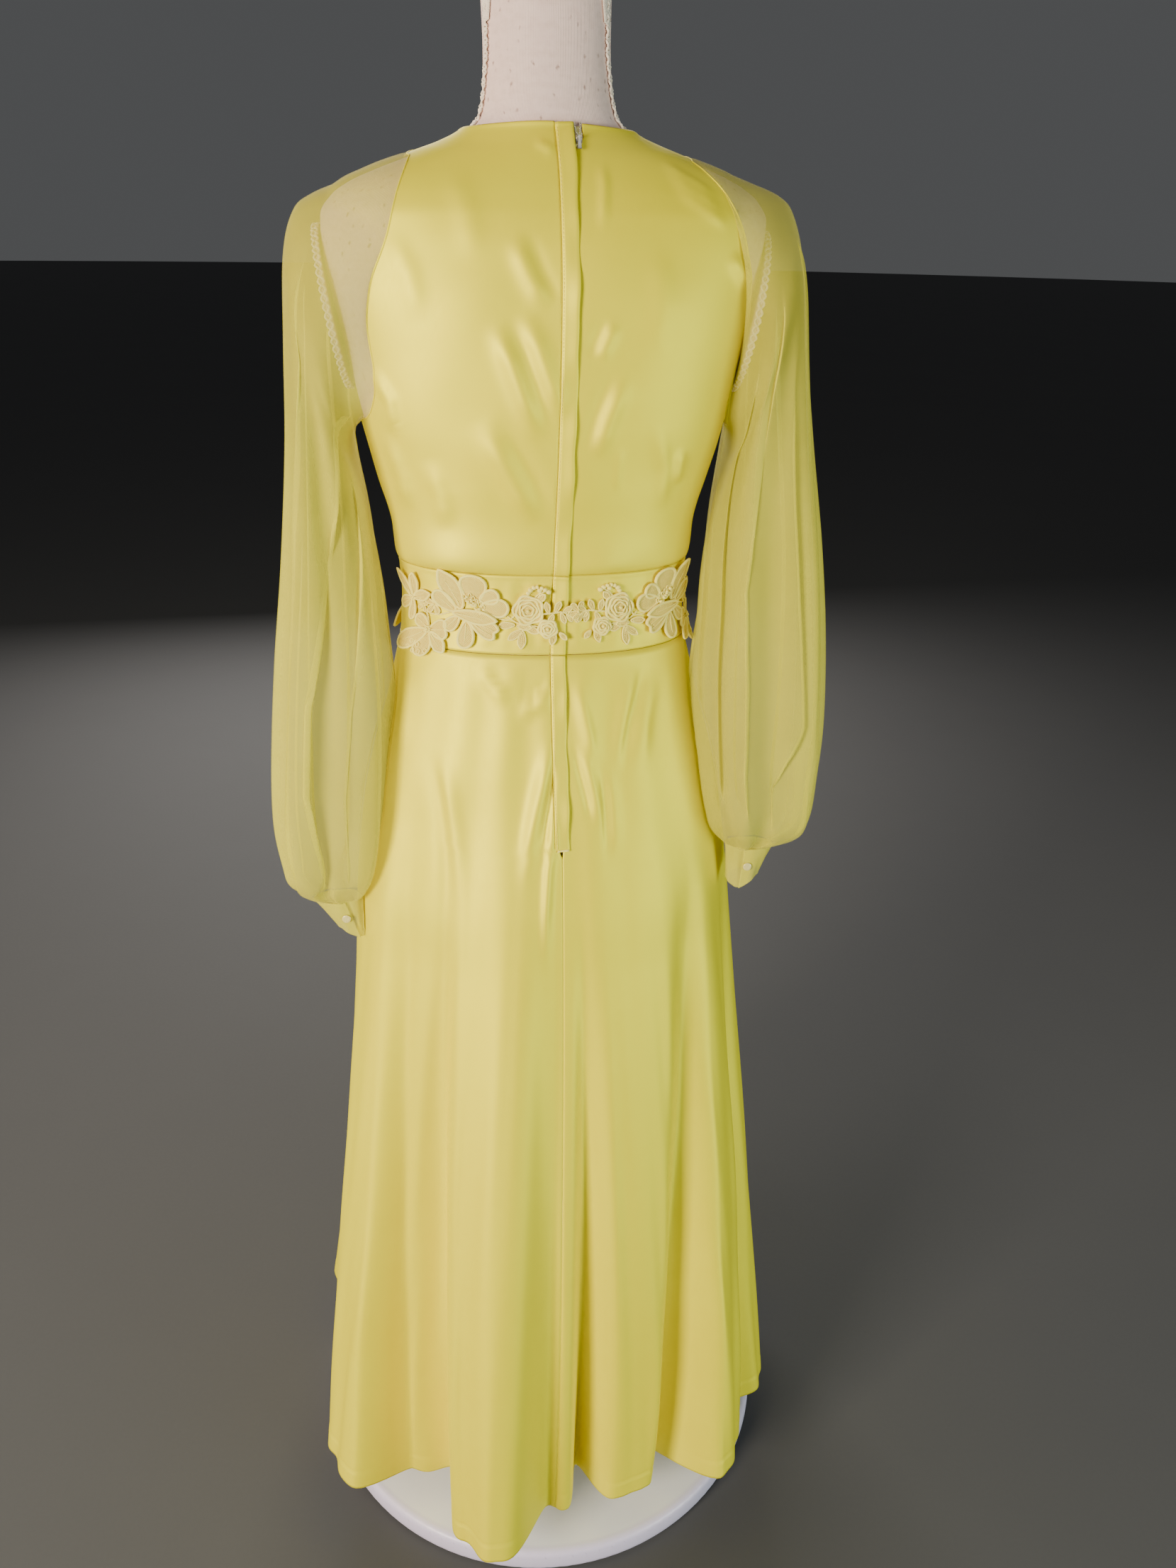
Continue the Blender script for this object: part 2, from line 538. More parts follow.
def meshed(name, points, faces, materials, corners=None, kinds=None):
    """A smooth mesh from points and faces, with its UV map in metres and a finish for each face."""
    mesh = bpy.data.meshes.new(name)
    mesh.from_pydata(np.asarray(points).tolist(), [], [tuple(face) for face in faces])
    if corners is not None:
        layer = mesh.uv_layers.new(name="along_cloth")
        layer.data.foreach_set("uv", np.asarray(corners, np.float32).ravel())
    for finish in materials:
        mesh.materials.append(finish)
    if kinds is not None:
        mesh.polygons.foreach_set("material_index", np.asarray(kinds, np.int32))
    mesh.shade_smooth()
    made = bpy.data.objects.new(name, mesh)
    LOOKS.objects.link(made)
    return made


def grid_faces(rows, columns, closed):
    row, column = np.meshgrid(np.arange(rows - 1), np.arange(columns if closed else columns - 1), indexing="ij")
    ahead = (column + 1) % columns
    corners = [row * columns + column, row * columns + ahead, (row + 1) * columns + ahead,
               (row + 1) * columns + column]
    return np.stack(corners, axis=-1).reshape(-1, 4)


def run_lengths(points, axis):
    steps = np.linalg.norm(np.diff(points, axis=axis), axis=-1)
    start = np.zeros([1 if k == axis else size for k, size in enumerate(steps.shape)])
    return np.concatenate([start, np.cumsum(steps, axis=axis)], axis=axis)


def fan(tip, start, count, turned=False):
    """Triangles from a tip to a ring of points."""
    pairs = [(start + k, start + (k + 1) % count) for k in range(count)]
    return [(tip, *(pair[::-1] if turned else pair)) for pair in pairs]


def spread(count):
    """Shares from 0 to 1 along the columns of a grid."""
    return np.linspace(0, 1, count)[None, :]


def around(count):
    return TURN * np.arange(count) / count


def cloth_map(points, closed):
    """A UV map that lies on the cloth: metres across from its middle and metres down."""
    if closed:
        points = np.concatenate([points, points[:, :1]], axis=1)
    across = run_lengths(points, 1)
    across = across - across[:, across.shape[1] // 2][:, None]
    flat = np.stack([across, run_lengths(points, 0)], axis=-1)
    corners = [flat[:-1, :-1], flat[:-1, 1:], flat[1:, 1:], flat[1:, :-1]]
    return np.stack(corners, axis=2).reshape(-1, 4, 2)


def facing_out(points, faces, about):
    flat = points.reshape(-1, 3)
    first, second, third = (flat[faces[:, k]] for k in range(3))
    return float(np.sum(np.cross(second - first, third - first) * (first - about.reshape(-1, 3)[faces[:, 0]])))


def cloth(name, points, wall, material, slot, nodes, closed=False, round_itself=False, gathered=None):
    """A thin wall of cloth through a grid of points, which Solidify thickens inwards."""
    rows, columns = points.shape[:2]
    faces = grid_faces(rows, columns, closed)
    corners = cloth_map(points, closed)
    about = points * np.array([0, 0, 1.0])
    if round_itself:
        about = np.broadcast_to(points.mean(axis=1, keepdims=True), points.shape)
    if facing_out(points, faces, about) < 0:
        faces = faces[:, ::-1]
        corners = corners[:, ::-1]
    made = meshed(name, points.reshape(-1, 3), faces, [material], corners)
    if gathered is not None:
        layer = made.data.attributes.new("gathered", "FLOAT", "POINT")
        layer.data.foreach_set("value", np.asarray(gathered, np.float32).ravel())
    solid = made.modifiers.new("Wall", "SOLIDIFY")
    solid.thickness = wall
    solid.offset = -1
    made_active(made)
    bpy.ops.object.modifier_apply(modifier=solid.name)
    return seated(made, slot, *nodes)


def satin_piece(node_name, points):
    """A panel of satin, with the flat size of its cloth in metres."""
    made = cloth(node_name + "_cloth", points, SATIN_WALL, SATIN, "satin_knit", [node_name])


# Materials

def node(tree, kind, inputs=(), **settings):
    made = tree.nodes.new(kind)
    for key, value in settings.items():
        setattr(made, key, value)
    for key, value in dict(inputs).items():
        if isinstance(value, bpy.types.NodeSocket):
            tree.links.new(value, made.inputs[key])
        else:
            made.inputs[key].default_value = value
    return made


def calc(tree, operation, first, second=0.0):
    return node(tree, "ShaderNodeMath", {0: first, 1: second}, operation=operation).outputs[0]


def new_group(name, inputs, outputs):
    made = bpy.data.node_groups.new(name, "ShaderNodeTree")
    for in_out, sockets in (("INPUT", inputs), ("OUTPUT", outputs)):
        for socket, kind in sockets:
            made.interface.new_socket(name=socket, in_out=in_out, socket_type="NodeSocket" + kind)
    return made, node(made, "NodeGroupInput"), node(made, "NodeGroupOutput")


def build_weave():
    """Threads that cross over and under, with slubs: a height and a tone."""
    tree, given, out = new_group(
        "crossed threads", (("Vector", "Vector"), ("Threads", "Float"), ("Slubs", "Float")),
        (("Height", "Float"), ("Tone", "Float")))
    apart = node(tree, "ShaderNodeSeparateXYZ", {0: given.outputs["Vector"]})
    waves = []
    for axis in (0, 1):
        phase = calc(tree, "MULTIPLY", calc(tree, "MULTIPLY", apart.outputs[axis], given.outputs["Threads"]), TURN)
        waves.append(calc(tree, "SINE", phase))
    cross = calc(tree, "MULTIPLY", waves[0], waves[1])
    stretched = []
    for scale in ((1.0, 0.06, 1.0), (0.06, 1.0, 1.0)):
        turned = node(tree, "ShaderNodeMapping", {"Vector": given.outputs["Vector"], "Scale": scale})
        rate = calc(tree, "MULTIPLY", given.outputs["Threads"], 0.35)
        noise = node(tree, "ShaderNodeTexNoise", {"Vector": turned.outputs[0], "Scale": rate, "Detail": 3.0})
        stretched.append(noise.outputs["Fac"])
    slub = calc(tree, "MULTIPLY", calc(tree, "ADD", stretched[0], stretched[1]), given.outputs["Slubs"])
    height = calc(tree, "ADD", calc(tree, "MULTIPLY", cross, 0.25), slub)
    tree.links.new(height, out.inputs["Height"])
    tree.links.new(calc(tree, "ADD", slub, calc(tree, "MULTIPLY", cross, 0.06)), out.inputs["Tone"])
    return tree


def build_drift():
    """A slow, uneven change of shade over a surface, as handled and pressed cloth has."""
    tree, given, out = new_group(
        "drifting shade", (("Vector", "Vector"), ("Scale", "Float"), ("Contrast", "Float")), (("Shade", "Float"),))
    broad = node(tree, "ShaderNodeTexNoise", {
        "Vector": given.outputs["Vector"], "Scale": given.outputs["Scale"], "Detail": 3.0, "Roughness": 0.55})
    fine_rate = calc(tree, "MULTIPLY", given.outputs["Scale"], 9.0)
    fine = node(tree, "ShaderNodeTexNoise", {"Vector": given.outputs["Vector"], "Scale": fine_rate, "Detail": 2.0})
    mixed = calc(tree, "ADD", calc(tree, "MULTIPLY", broad.outputs["Fac"], 0.75),
                 calc(tree, "MULTIPLY", fine.outputs["Fac"], 0.25))
    centred = calc(tree, "MULTIPLY", calc(tree, "SUBTRACT", mixed, 0.5), given.outputs["Contrast"])
    tree.links.new(calc(tree, "ADD", centred, 0.5), out.inputs["Shade"])
    return tree


WEAVE = build_weave()
DRIFT = build_drift()


class Finish:
    """A material being built round its Principled shader."""

    def __init__(self, name, **sockets):
        self.made = bpy.data.materials.new(name)
        self.made.use_nodes = True
        self.tree = self.made.node_tree
        self.shader = self.tree.nodes["Principled BSDF"]
        for key, value in sockets.items():
            self.shader.inputs[key.replace("_", " ")].default_value = value
        self.places = node(self.tree, "ShaderNodeTexCoord").outputs

    def plus(self, first, second):
        return calc(self.tree, "ADD", first, second)

    def times(self, first, second):
        return calc(self.tree, "MULTIPLY", first, second)

    def moved(self, kind, **changes):
        return node(self.tree, "ShaderNodeMapping", {"Vector": self.places[kind], **changes}).outputs[0]

    def parts(self, vector):
        return node(self.tree, "ShaderNodeSeparateXYZ", {0: vector}).outputs

    def ramp(self, value, start, end, low=0.0, high=1.0):
        return node(self.tree, "ShaderNodeMapRange", {
            "Value": value, "From Min": start, "From Max": end, "To Min": low, "To Max": high}).outputs[0]

    def weave(self, threads, slubs, kind="UV"):
        return node(self.tree, "ShaderNodeGroup", {
            "Vector": self.places[kind], "Threads": threads, "Slubs": slubs}, node_tree=WEAVE).outputs

    def drift(self, scale, contrast):
        return node(self.tree, "ShaderNodeGroup", {
            "Vector": self.places["Object"], "Scale": scale, "Contrast": contrast}, node_tree=DRIFT).outputs["Shade"]

    def noise(self, scale, stretch=(1, 1, 1), kind="Object", detail=2.0):
        return node(self.tree, "ShaderNodeTexNoise", {
            "Vector": self.moved(kind, Scale=stretch), "Scale": scale, "Detail": detail}).outputs["Fac"]

    def blend(self, share, first, second):
        mix = node(self.tree, "ShaderNodeMix", {"Factor": share}, data_type="RGBA")
        for place, value in ((6, first), (7, second)):
            if isinstance(value, bpy.types.NodeSocket):
                self.tree.links.new(value, mix.inputs[place])
            else:
                mix.inputs[place].default_value = (*value, 1.0)
        return mix.outputs[2]

    def between(self, value, low, high):
        """A value from 0 to 1 spread over a range."""
        return self.plus(self.times(value, high - low), low)

    def done(self, colour, rough, height, strength, distance):
        """Link the colour, the roughness and the bump, and give the material."""
        bump = node(self.tree, "ShaderNodeBump", {"Strength": strength, "Distance": distance, "Height": height})
        for name, socket in (("Base Color", colour), ("Roughness", rough), ("Normal", bump.outputs[0])):
            self.tree.links.new(socket, self.shader.inputs[name])
        return self.made


def satin_finish():
    made = Finish("satin_knit_cloth", IOR=1.35, Metallic=0.34)
    threads = made.noise(900.0, (1.0, 0.10, 1.0), "UV")
    tone = made.plus(made.times(made.drift(7.0, 1.5), 0.8), made.times(threads, 0.2))
    colour = made.blend(tone, (0.85, 0.715, 0.007), (0.91, 0.80, 0.017))
    height = made.plus(made.times(threads, 0.6), made.weave(1500.0, 0.5)["Height"])
    return made.done(colour, made.between(threads, 0.50, 0.62), height, 0.12, 0.0002)


def chiffon_finish():
    """See-through crepe, denser where its cloth is drawn together."""
    made = Finish("chiffon_cloth", IOR=1.35, Sheen_Weight=0.08, Sheen_Roughness=0.5)
    crepe = made.weave(900.0, 0.12)
    shade = made.drift(9.0, 1.2)
    gathered = node(made.tree, "ShaderNodeAttribute", attribute_name="gathered").outputs["Fac"]
    soft = made.plus(made.between(shade, 0.25, 0.33), made.times(crepe["Tone"], 0.10))
    made.tree.links.new(made.plus(soft, made.times(gathered, 0.34)), made.shader.inputs["Alpha"])
    colour = made.blend(shade, (0.74, 0.665, 0.045), (0.83, 0.76, 0.090))
    return made.done(colour, made.between(crepe["Tone"], 0.72, 0.92), crepe["Height"], 0.25, 0.0002)


def lace_cord_finish():
    made = Finish("lace_cord", IOR=1.45, Sheen_Weight=0.15)
    twist = made.noise(1400.0, (1.0, 0.35, 1.0), "UV")
    colour = made.blend(made.drift(30.0, 1.3), (1.0, 0.80, 0.14), (1.0, 0.90, 0.25))
    return made.done(colour, made.between(twist, 0.62, 0.85), twist, 0.5, 0.0004)


def lace_fill_finish():
    """Slanting rows of stitches."""
    made = Finish("lace_stitched_fill", IOR=1.45)
    across = made.parts(made.moved("UV", Rotation=(0, 0, 0.72)))[0]
    lines = calc(made.tree, "SINE", made.times(across, TURN * 800))
    wobble = made.noise(420.0, (1, 1, 1), "UV")
    hatch = made.plus(made.times(lines, 0.4), wobble)
    colour = made.blend(made.times(hatch, 0.9), (0.80, 0.57, 0.07), (0.97, 0.80, 0.19))
    return made.done(colour, made.between(wobble, 0.7, 0.95), hatch, 0.8, 0.0006)


def linen_finish():
    """Pink linen with dark flecks."""
    made = Finish("form_linen_cloth", IOR=1.4, Sheen_Weight=0.05)
    woven = made.weave(620.0, 0.9, "Object")
    warp = made.noise(240.0)
    shift = node(made.tree, "ShaderNodeCombineXYZ", {
        0: made.times(warp, 0.006), 1: 0.0, 2: made.times(warp, 0.004)}).outputs[0]
    bent = node(made.tree, "ShaderNodeVectorMath", {0: made.places["Object"], 1: shift}, operation="ADD")
    placed = node(made.tree, "ShaderNodeMapping", {"Vector": bent.outputs[0], "Scale": (1.0, 1.0, 0.62)})
    cells = node(made.tree, "ShaderNodeTexVoronoi", {"Vector": placed.outputs[0], "Scale": 165.0}).outputs
    chosen = node(made.tree, "ShaderNodeSeparateColor", {0: cells["Color"]}).outputs[0]
    flecks = made.times(made.ramp(chosen, 0.50, 0.56), made.ramp(cells["Distance"], 0.08, 0.24, 0.75, 0.0))
    ground = made.blend(woven["Tone"], (0.60, 0.41, 0.365), (0.76, 0.56, 0.515))
    colour = made.blend(flecks, ground, (0.27, 0.15, 0.12))
    return made.done(colour, made.between(warp, 0.8, 0.95), woven["Height"], 0.45, 0.0005)


def braid_finish():
    made = Finish("form_braid", IOR=1.45, Sheen_Weight=0.1)
    strand = made.noise(900.0)
    colour = made.blend(strand, (0.70, 0.56, 0.46), (0.90, 0.80, 0.70))
    return made.done(colour, made.between(strand, 0.55, 0.8), strand, 0.5, 0.0004)


def enamel_finish():
    """White enamel, worn to a bluish tone along its rim."""
    made = Finish("base_white_enamel", IOR=1.5, Coat_Weight=0.2, Coat_Roughness=0.3)
    apart = made.parts(made.places["Object"])
    squares = [calc(made.tree, "POWER", apart[axis], 2.0) for axis in (0, 1)]
    reach = calc(made.tree, "SQRT", made.plus(*squares))
    white = made.blend(made.drift(14.0, 1.0), (0.80, 0.78, 0.80), (0.88, 0.87, 0.88))
    colour = made.blend(made.ramp(reach, BASE_RADIUS - 0.012, BASE_RADIUS - 0.003), white, (0.66, 0.58, 0.76))
    scuffs = made.noise(90.0, detail=4.0)
    return made.done(colour, made.between(scuffs, 0.28, 0.55), scuffs, 0.06, 0.0004)


def metal_finish(name, colour, dull, roughness, stretch):
    made = Finish(name, Metallic=1.0, IOR=1.5)
    brushed = made.noise(260.0, stretch, detail=3.0)
    rough = made.between(brushed, roughness - 0.08, roughness + 0.12)
    return made.done(made.blend(brushed, dull, colour), rough, brushed, 0.12, 0.0002)


def tape_finish():
    made = Finish("zip_tape_cloth", IOR=1.4)
    twill = made.weave(1300.0, 0.5)
    colour = made.blend(twill["Tone"], (0.66, 0.56, 0.20), (0.80, 0.72, 0.34))
    return made.done(colour, made.between(twill["Tone"], 0.75, 0.9), twill["Height"], 0.5, 0.0003)


def pearl_finish():
    made = Finish("button_pearl_shell", IOR=1.55, Coat_Weight=0.5, Coat_Roughness=0.1)
    clouds = made.noise(700.0, (1, 1, 0.4), detail=3.0)
    colour = made.blend(clouds, (0.64, 0.53, 0.16), (0.80, 0.71, 0.30))
    return made.done(colour, made.between(clouds, 0.18, 0.34), clouds, 0.08, 0.0002)


def floor_finish():
    made = Finish("studio_floor_paper", IOR=1.4)
    grain = made.noise(180.0, detail=4.0)
    colour = made.blend(made.drift(1.2, 0.6), (0.060, 0.060, 0.062), (0.075, 0.074, 0.076))
    return made.done(colour, made.between(grain, 0.75, 0.9), grain, 0.05, 0.0005)


SATIN = satin_finish()
CHIFFON = chiffon_finish()
LACE_CORD = lace_cord_finish()
LACE_FILL = lace_fill_finish()
LINEN = linen_finish()
BRAID = braid_finish()
ENAMEL = enamel_finish()
POLE_METAL = metal_finish("pole_brushed_steel", (0.72, 0.72, 0.74), (0.55, 0.55, 0.57), 0.34, (1, 1, 0.04))
ZIP_METAL = metal_finish("zip_bright_metal", (0.86, 0.83, 0.74), (0.62, 0.57, 0.44), 0.26, (1, 1, 1))
TAPE = tape_finish()
PEARL = pearl_finish()


# The stage, the camera and the lights

CAMERA_TURNS = (-5.0, 25.198, 1.0803)
CAMERA_PLACE = (-0.05264, -1.14979, 1.41613)
CAMERA_LENS = 27.67
CAMERA_SENSOR = 36.0


def make_stage():
    bpy.ops.object.select_all(action="DESELECT")
    bpy.ops.mesh.primitive_circle_add(vertices=96, radius=40.0, fill_type="NGON", location=(0, 0, -0.0006))
    floor = bpy.context.active_object
    floor.name = "studio_floor"
    floor.data.materials.append(floor_finish())
    world = bpy.data.worlds.new("studio_air")
    world.use_nodes = True
    world.node_tree.nodes["Background"].inputs["Color"].default_value = (0.80, 0.82, 0.84, 1)
    world.node_tree.nodes["Background"].inputs["Strength"].default_value = 0.10
    bpy.context.scene.world = world


def make_camera():
    azimuth, pitch, roll = (math.radians(turn) for turn in CAMERA_TURNS)
    ahead = Vector((-math.sin(azimuth), math.cos(azimuth), 0))
    beside = Vector((math.cos(azimuth), math.sin(azimuth), 0))
    above = Vector((0, 0, 1))
    look = ahead * math.cos(pitch) - above * math.sin(pitch)
    crown = ahead * math.sin(pitch) + above * math.cos(pitch)
    right = beside * math.cos(roll) + crown * math.sin(roll)
    top = crown * math.cos(roll) - beside * math.sin(roll)
    data = bpy.data.cameras.new("photo_view")
    data.lens = CAMERA_LENS
    data.sensor_width = CAMERA_SENSOR
    data.clip_start = 0.02
    camera = bpy.data.objects.new("photo_view", data)
    bpy.context.scene.collection.objects.link(camera)
    place = Matrix((right, top, -look)).transposed().to_4x4()
    place.translation = CAMERA_PLACE
    camera.matrix_world = place
    bpy.context.scene.camera = camera


def make_light(name, place, aim, size, power, colour):
    data = bpy.data.lights.new(name, "AREA")
    data.size = size
    data.energy = power
    data.color = colour
    light = bpy.data.objects.new(name, data)
    bpy.context.scene.collection.objects.link(light)
    light.location = place
    light.rotation_euler = (Vector(aim) - Vector(place)).to_track_quat("-Z", "Y").to_euler()


make_stage()
make_camera()
make_light("key_light", (-1.9, -2.1, 1.35), (0, 0, 0.90), 1.0, 140, (1.0, 0.91, 0.74))
make_light("window_light", (2.4, -1.9, 0.60), (0, 0, 0.50), 1.3, 66, (0.84, 1.0, 0.92))
make_light("left_light", (-2.5, -0.2, 1.3), (0, 0, 0.7), 1.2, 30, (1.0, 0.92, 0.74))
make_light("top_light", (0.2, 0.6, 3.2), (0, 0, 0.8), 2.0, 10, (1.0, 0.98, 0.95))
make_light("front_light", (-0.4, 3.0, 1.8), (0, 0, 0.9), 2.2, 110, (1.0, 0.96, 0.90))


# The bodice

def neckline(angle):
    away = np.abs(np.arctan2(np.sin(angle), np.cos(angle)))
    back = NAPE - (NAPE - NECK_SIDE) * np.sin(away) ** 2
    front = NECK_FRONT + (NECK_SIDE - NECK_FRONT) * np.sin(away) ** 3
    return np.where(away <= QUARTER, back, front)


def armhole_angle(height, side, face):
    """Where the armhole seam crosses a height, from 0 at the centre to 90 degrees at the side."""
    x = ARMHOLE["front" if face == "front" else "back_" + side](height)
    half_width = FORM.width(np.array(-QUARTER if side == "left" else QUARTER), height) + DRESS_LIFT
    power = FORM.at["squareness"](height)
    depth = FORM.at[face](height) + DRESS_LIFT
    share = np.minimum(x / half_width, 1.0)
    angle = np.arctan2(share * half_width, depth * (1 - share ** power) ** (1 / power))
    low = np.sqrt(np.clip((height - ARM_LOW) / 0.008, 0, 1))
    high = np.sqrt(np.clip((ARM_TOP - height) / 0.005, 0, 1))
    return QUARTER + (angle - QUARTER) * low * high


def bodice_folds(angle, x, height):
    """How far the bodice's cloth stands off its plain surface."""
    back, front = eased(np.cos(angle) / 0.25), eased(-np.cos(angle) / 0.25)
    creases = crease_rise(x, height, BACK_CREASES) * back + crease_rise(x, height, FRONT_CREASES) * front
    above_band = np.maximum(height - BODICE_LOW, 0)
    fullness = 0.0022 + back * (0.0048 * bell(x, -0.088, 0.036) + 0.0028 * bell(x, 0.052, 0.022))
    fullness = fullness + front * 0.0022 * (1 + np.sin(55 * x + 0.7))
    blouse = fullness * (1 - np.exp(-above_band / 0.0035)) * bell(above_band, 0.008, 0.026)
    soft = np.sin(47 * x + 31 * height) + np.sin(71 * x - 43 * height + 1.3) + np.sin(29 * x + 67 * height + 2.6)
    rise = BODICE_CREASING * creases + blouse + 0.00030 * soft * eased(above_band / 0.02)
    below_neck = np.maximum(neckline(angle) - height, 0)
    rolled_edge = 0.0006 * bell(below_neck, 0.0010, 0.0010) - 0.0003 * bell(below_neck, 0.0062, 0.0006)
    return rise * eased(below_neck / 0.012) + rolled_edge


def bodice_height(angle, row_height):
    """The rows draw together below the front neckline."""
    return BODICE_LOW + (row_height - BODICE_LOW) * (neckline(angle) - BODICE_LOW) / (NECK_SIDE - BODICE_LOW)


def bodice_surface(angle, row_height):
    height = bodice_height(angle, row_height)
    x = FORM.radius(angle, height) * np.sin(angle)
    return surface(angle, height, DRESS_LIFT + bodice_folds(angle, x, height), FORM.radius)


def panel_angles(start, end, share, height, face):
    """Angles spread between a panel's two edges by the form's own outline."""
    centre = 0.0 if face == "back" else math.pi
    wide, depth = FORM.at["half_width"](height), FORM.at[face](height)

    def turned(angle):
        return np.arctan2(depth * np.sin(angle - centre), wide * np.cos(angle - centre))

    turn = turned(start) + (turned(end) - turned(start)) * share
    return centre + np.arctan2(wide * np.sin(turn), depth * np.cos(turn))


def neck_opening(height):
    return np.clip((height - NAPE + NECK_OPENING) / (0.6 * NECK_OPENING), 0, 1)


def zip_edge(sign, height):
    """Where a back panel ends at the zip, as a distance from the middle."""
    if sign < 0:
        return ZIP(height) - LAP_WIDTH - SEAM / 2
    return ZIP(height) + RIGHT_UNDER_LAP + (RIGHT_AT_NECK - RIGHT_UNDER_LAP) * neck_opening(height)


def bodice_rows():
    ends = (BODICE_LOW, ARM_LOW, ARM_LOW + 0.012, ARM_TOP - 0.008, ARM_TOP, NECK_SIDE)
    return in_stretches(ends, (50, 10, 66, 9, 14))[:, None]


def make_bodice():
    rows = bodice_rows()
    zip_height = bodice_height(angle_at(ZIP(NAPE), NAPE), rows)
    for side, sign, area in (("left", -1, 0.063), ("right", 1, 0.061)):
        start = angle_at(zip_edge(sign, zip_height), zip_height)
        end = sign * armhole_angle(rows, side, "back")
        angle = panel_angles(start, end, spread(80), rows, "back")
        satin_piece("bodice_back_" + side, bodice_surface(angle, rows))
    start = math.pi - armhole_angle(rows, "right", "front")
    end = math.pi + armhole_angle(rows, "left", "front")
    angle = panel_angles(start, end, spread(146), rows, "front")
    satin_piece("bodice_front", bodice_surface(angle, rows))


# The waistband

def band_folds(angle, height):
    edges = 0.0007 * bell(height, BAND_TOP - 0.0014, 0.0010) + 0.0005 * bell(height, BAND_LOW + 0.0012, 0.0010)
    inside = eased((height - BAND_LOW) / 0.012) * eased((BAND_TOP - height) / 0.012)
    soft = np.sin(19 * angle + 60 * height) + 0.7 * np.sin(33 * angle - 45 * height + 1.1)
    return edges + 0.00035 * soft * inside


def make_waistband():
    rows = np.linspace(BAND_LOW, BODICE_LOW - SEAM, 36)[:, None]

    def band(name, angle):
        points = surface(angle, rows, DRESS_LIFT + band_folds(angle, rows))
        satin_piece("waistband_" + name, points)

    for side, sign, width in (("left", -1, 0.185), ("right", 1, 0.167)):
        start = angle_at(zip_edge(sign, rows), rows)
        band("back_" + side, start + (sign * QUARTER - start) * spread(74))
    band("front", math.pi + QUARTER * (2 * spread(148) - 1))


# The skirt

def hem_height(angle):
    return HEM + 0.16 * (skirt_radius(angle, HEM) - 0.250)


def drifted(hem_angle, height):
    """A hem angle followed up the skirt along the folds."""
    at_hem = np.concatenate([[HEM_TURNS[-1] - TURN], HEM_TURNS, HEM_TURNS[:2] + TURN])
    hem_angle, height = np.broadcast_arrays(np.asarray(hem_angle, float), np.asarray(height, float))
    here = fold_nodes(height)[0]
    here = np.concatenate([here[..., -2:-1] - TURN, here, here[..., 1:2] + TURN], axis=-1)
    place = np.clip(np.searchsorted(at_hem, hem_angle, side="right") - 1, 0, len(at_hem) - 2)
    share = (hem_angle - at_hem[place]) / (at_hem[place + 1] - at_hem[place])
    first = taken(here, place)
    return first + (taken(here, place + 1) - first) * share


def centre_edge(sign, height):
    """The back panels' inner edge: under the zip's lap above, at the centre seam below it."""
    upper = angle_at(zip_edge(sign, np.maximum(height, ZIP_END)), height, skirt_radius)
    share = (ZIP_END - height) / (ZIP_END - HEM)
    lower = CENTRE_SEAM_TOP + (CENTRE_SEAM_HEM - CENTRE_SEAM_TOP) * share
    lower = lower + sign * SEAM / 2 / skirt_radius(lower, height)
    return lower + (upper - lower) * eased((height - ZIP_END + 0.004) / 0.006)


def make_skirt():
    top = BAND_LOW - SEAM
    shares = in_stretches((0, 0.2, 0.97, 1), (30, 84, 12))[:, None]

    def panel(name, low, high, columns, edges):
        """A panel between two hem angles, with its side edges as functions of the height."""
        hem_angle = np.linspace(low, high, columns)[None, :]
        height = top + (hem_height(hem_angle) - top) * shares
        first, last = (edge(height) for edge in edges)
        start, end = drifted(low, height), drifted(high, height)
        angle = first + (last - first) * (drifted(hem_angle, height) - start) / (end - start)
        above_hem = height - hem_height(hem_angle)
        turned_up = 0.0004 * eased((HEM_DEPTH - above_hem) / 0.001) - 0.0005 * bell(above_hem, HEM_DEPTH, 0.0008)
        radius = rippled_radius(angle, height) + turned_up
        edge_gap = np.minimum(np.abs(angle - first), np.abs(last - angle)) * radius
        radius = radius - 0.0004 * bell(edge_gap, 0, 0.0012) + 0.0005 * bell(height, top, 0.0016)
        satin_piece(name, polar(angle, radius, height))

    def side(angle):
        return lambda height: angle + 0 * height

    def centre(sign):
        return lambda height: centre_edge(sign, height)

    panel("skirt_back_left", -SIDE_SEAM, CENTRE_SEAM_HEM, 136, (side(-SIDE_SEAM), centre(-1)))
    panel("skirt_back_right", CENTRE_SEAM_HEM, SIDE_SEAM, 136, (centre(1), side(SIDE_SEAM)))
    far_side = TURN - SIDE_SEAM
    panel("skirt_front", SIDE_SEAM, far_side, 204, (side(SIDE_SEAM), side(far_side)))


# The sleeves and cuffs

def armhole_points(side, sign, steps):
    """The armhole seam, as steps go from the shoulder down the back and up the front."""
    last = len(ARM_ROWS) - 1
    down = np.interp(steps, np.arange(last + 1), ARM_ROWS[::-1])
    up = np.interp(steps - last, np.arange(last + 1), ARM_ROWS)
    on_back = steps <= last
    row_height = np.where(on_back, down, up)
    back = sign * armhole_angle(row_height, side, "back")
    front = math.pi - sign * armhole_angle(row_height, side, "front")
    return bodice_surface(np.where(on_back, back, front), row_height)


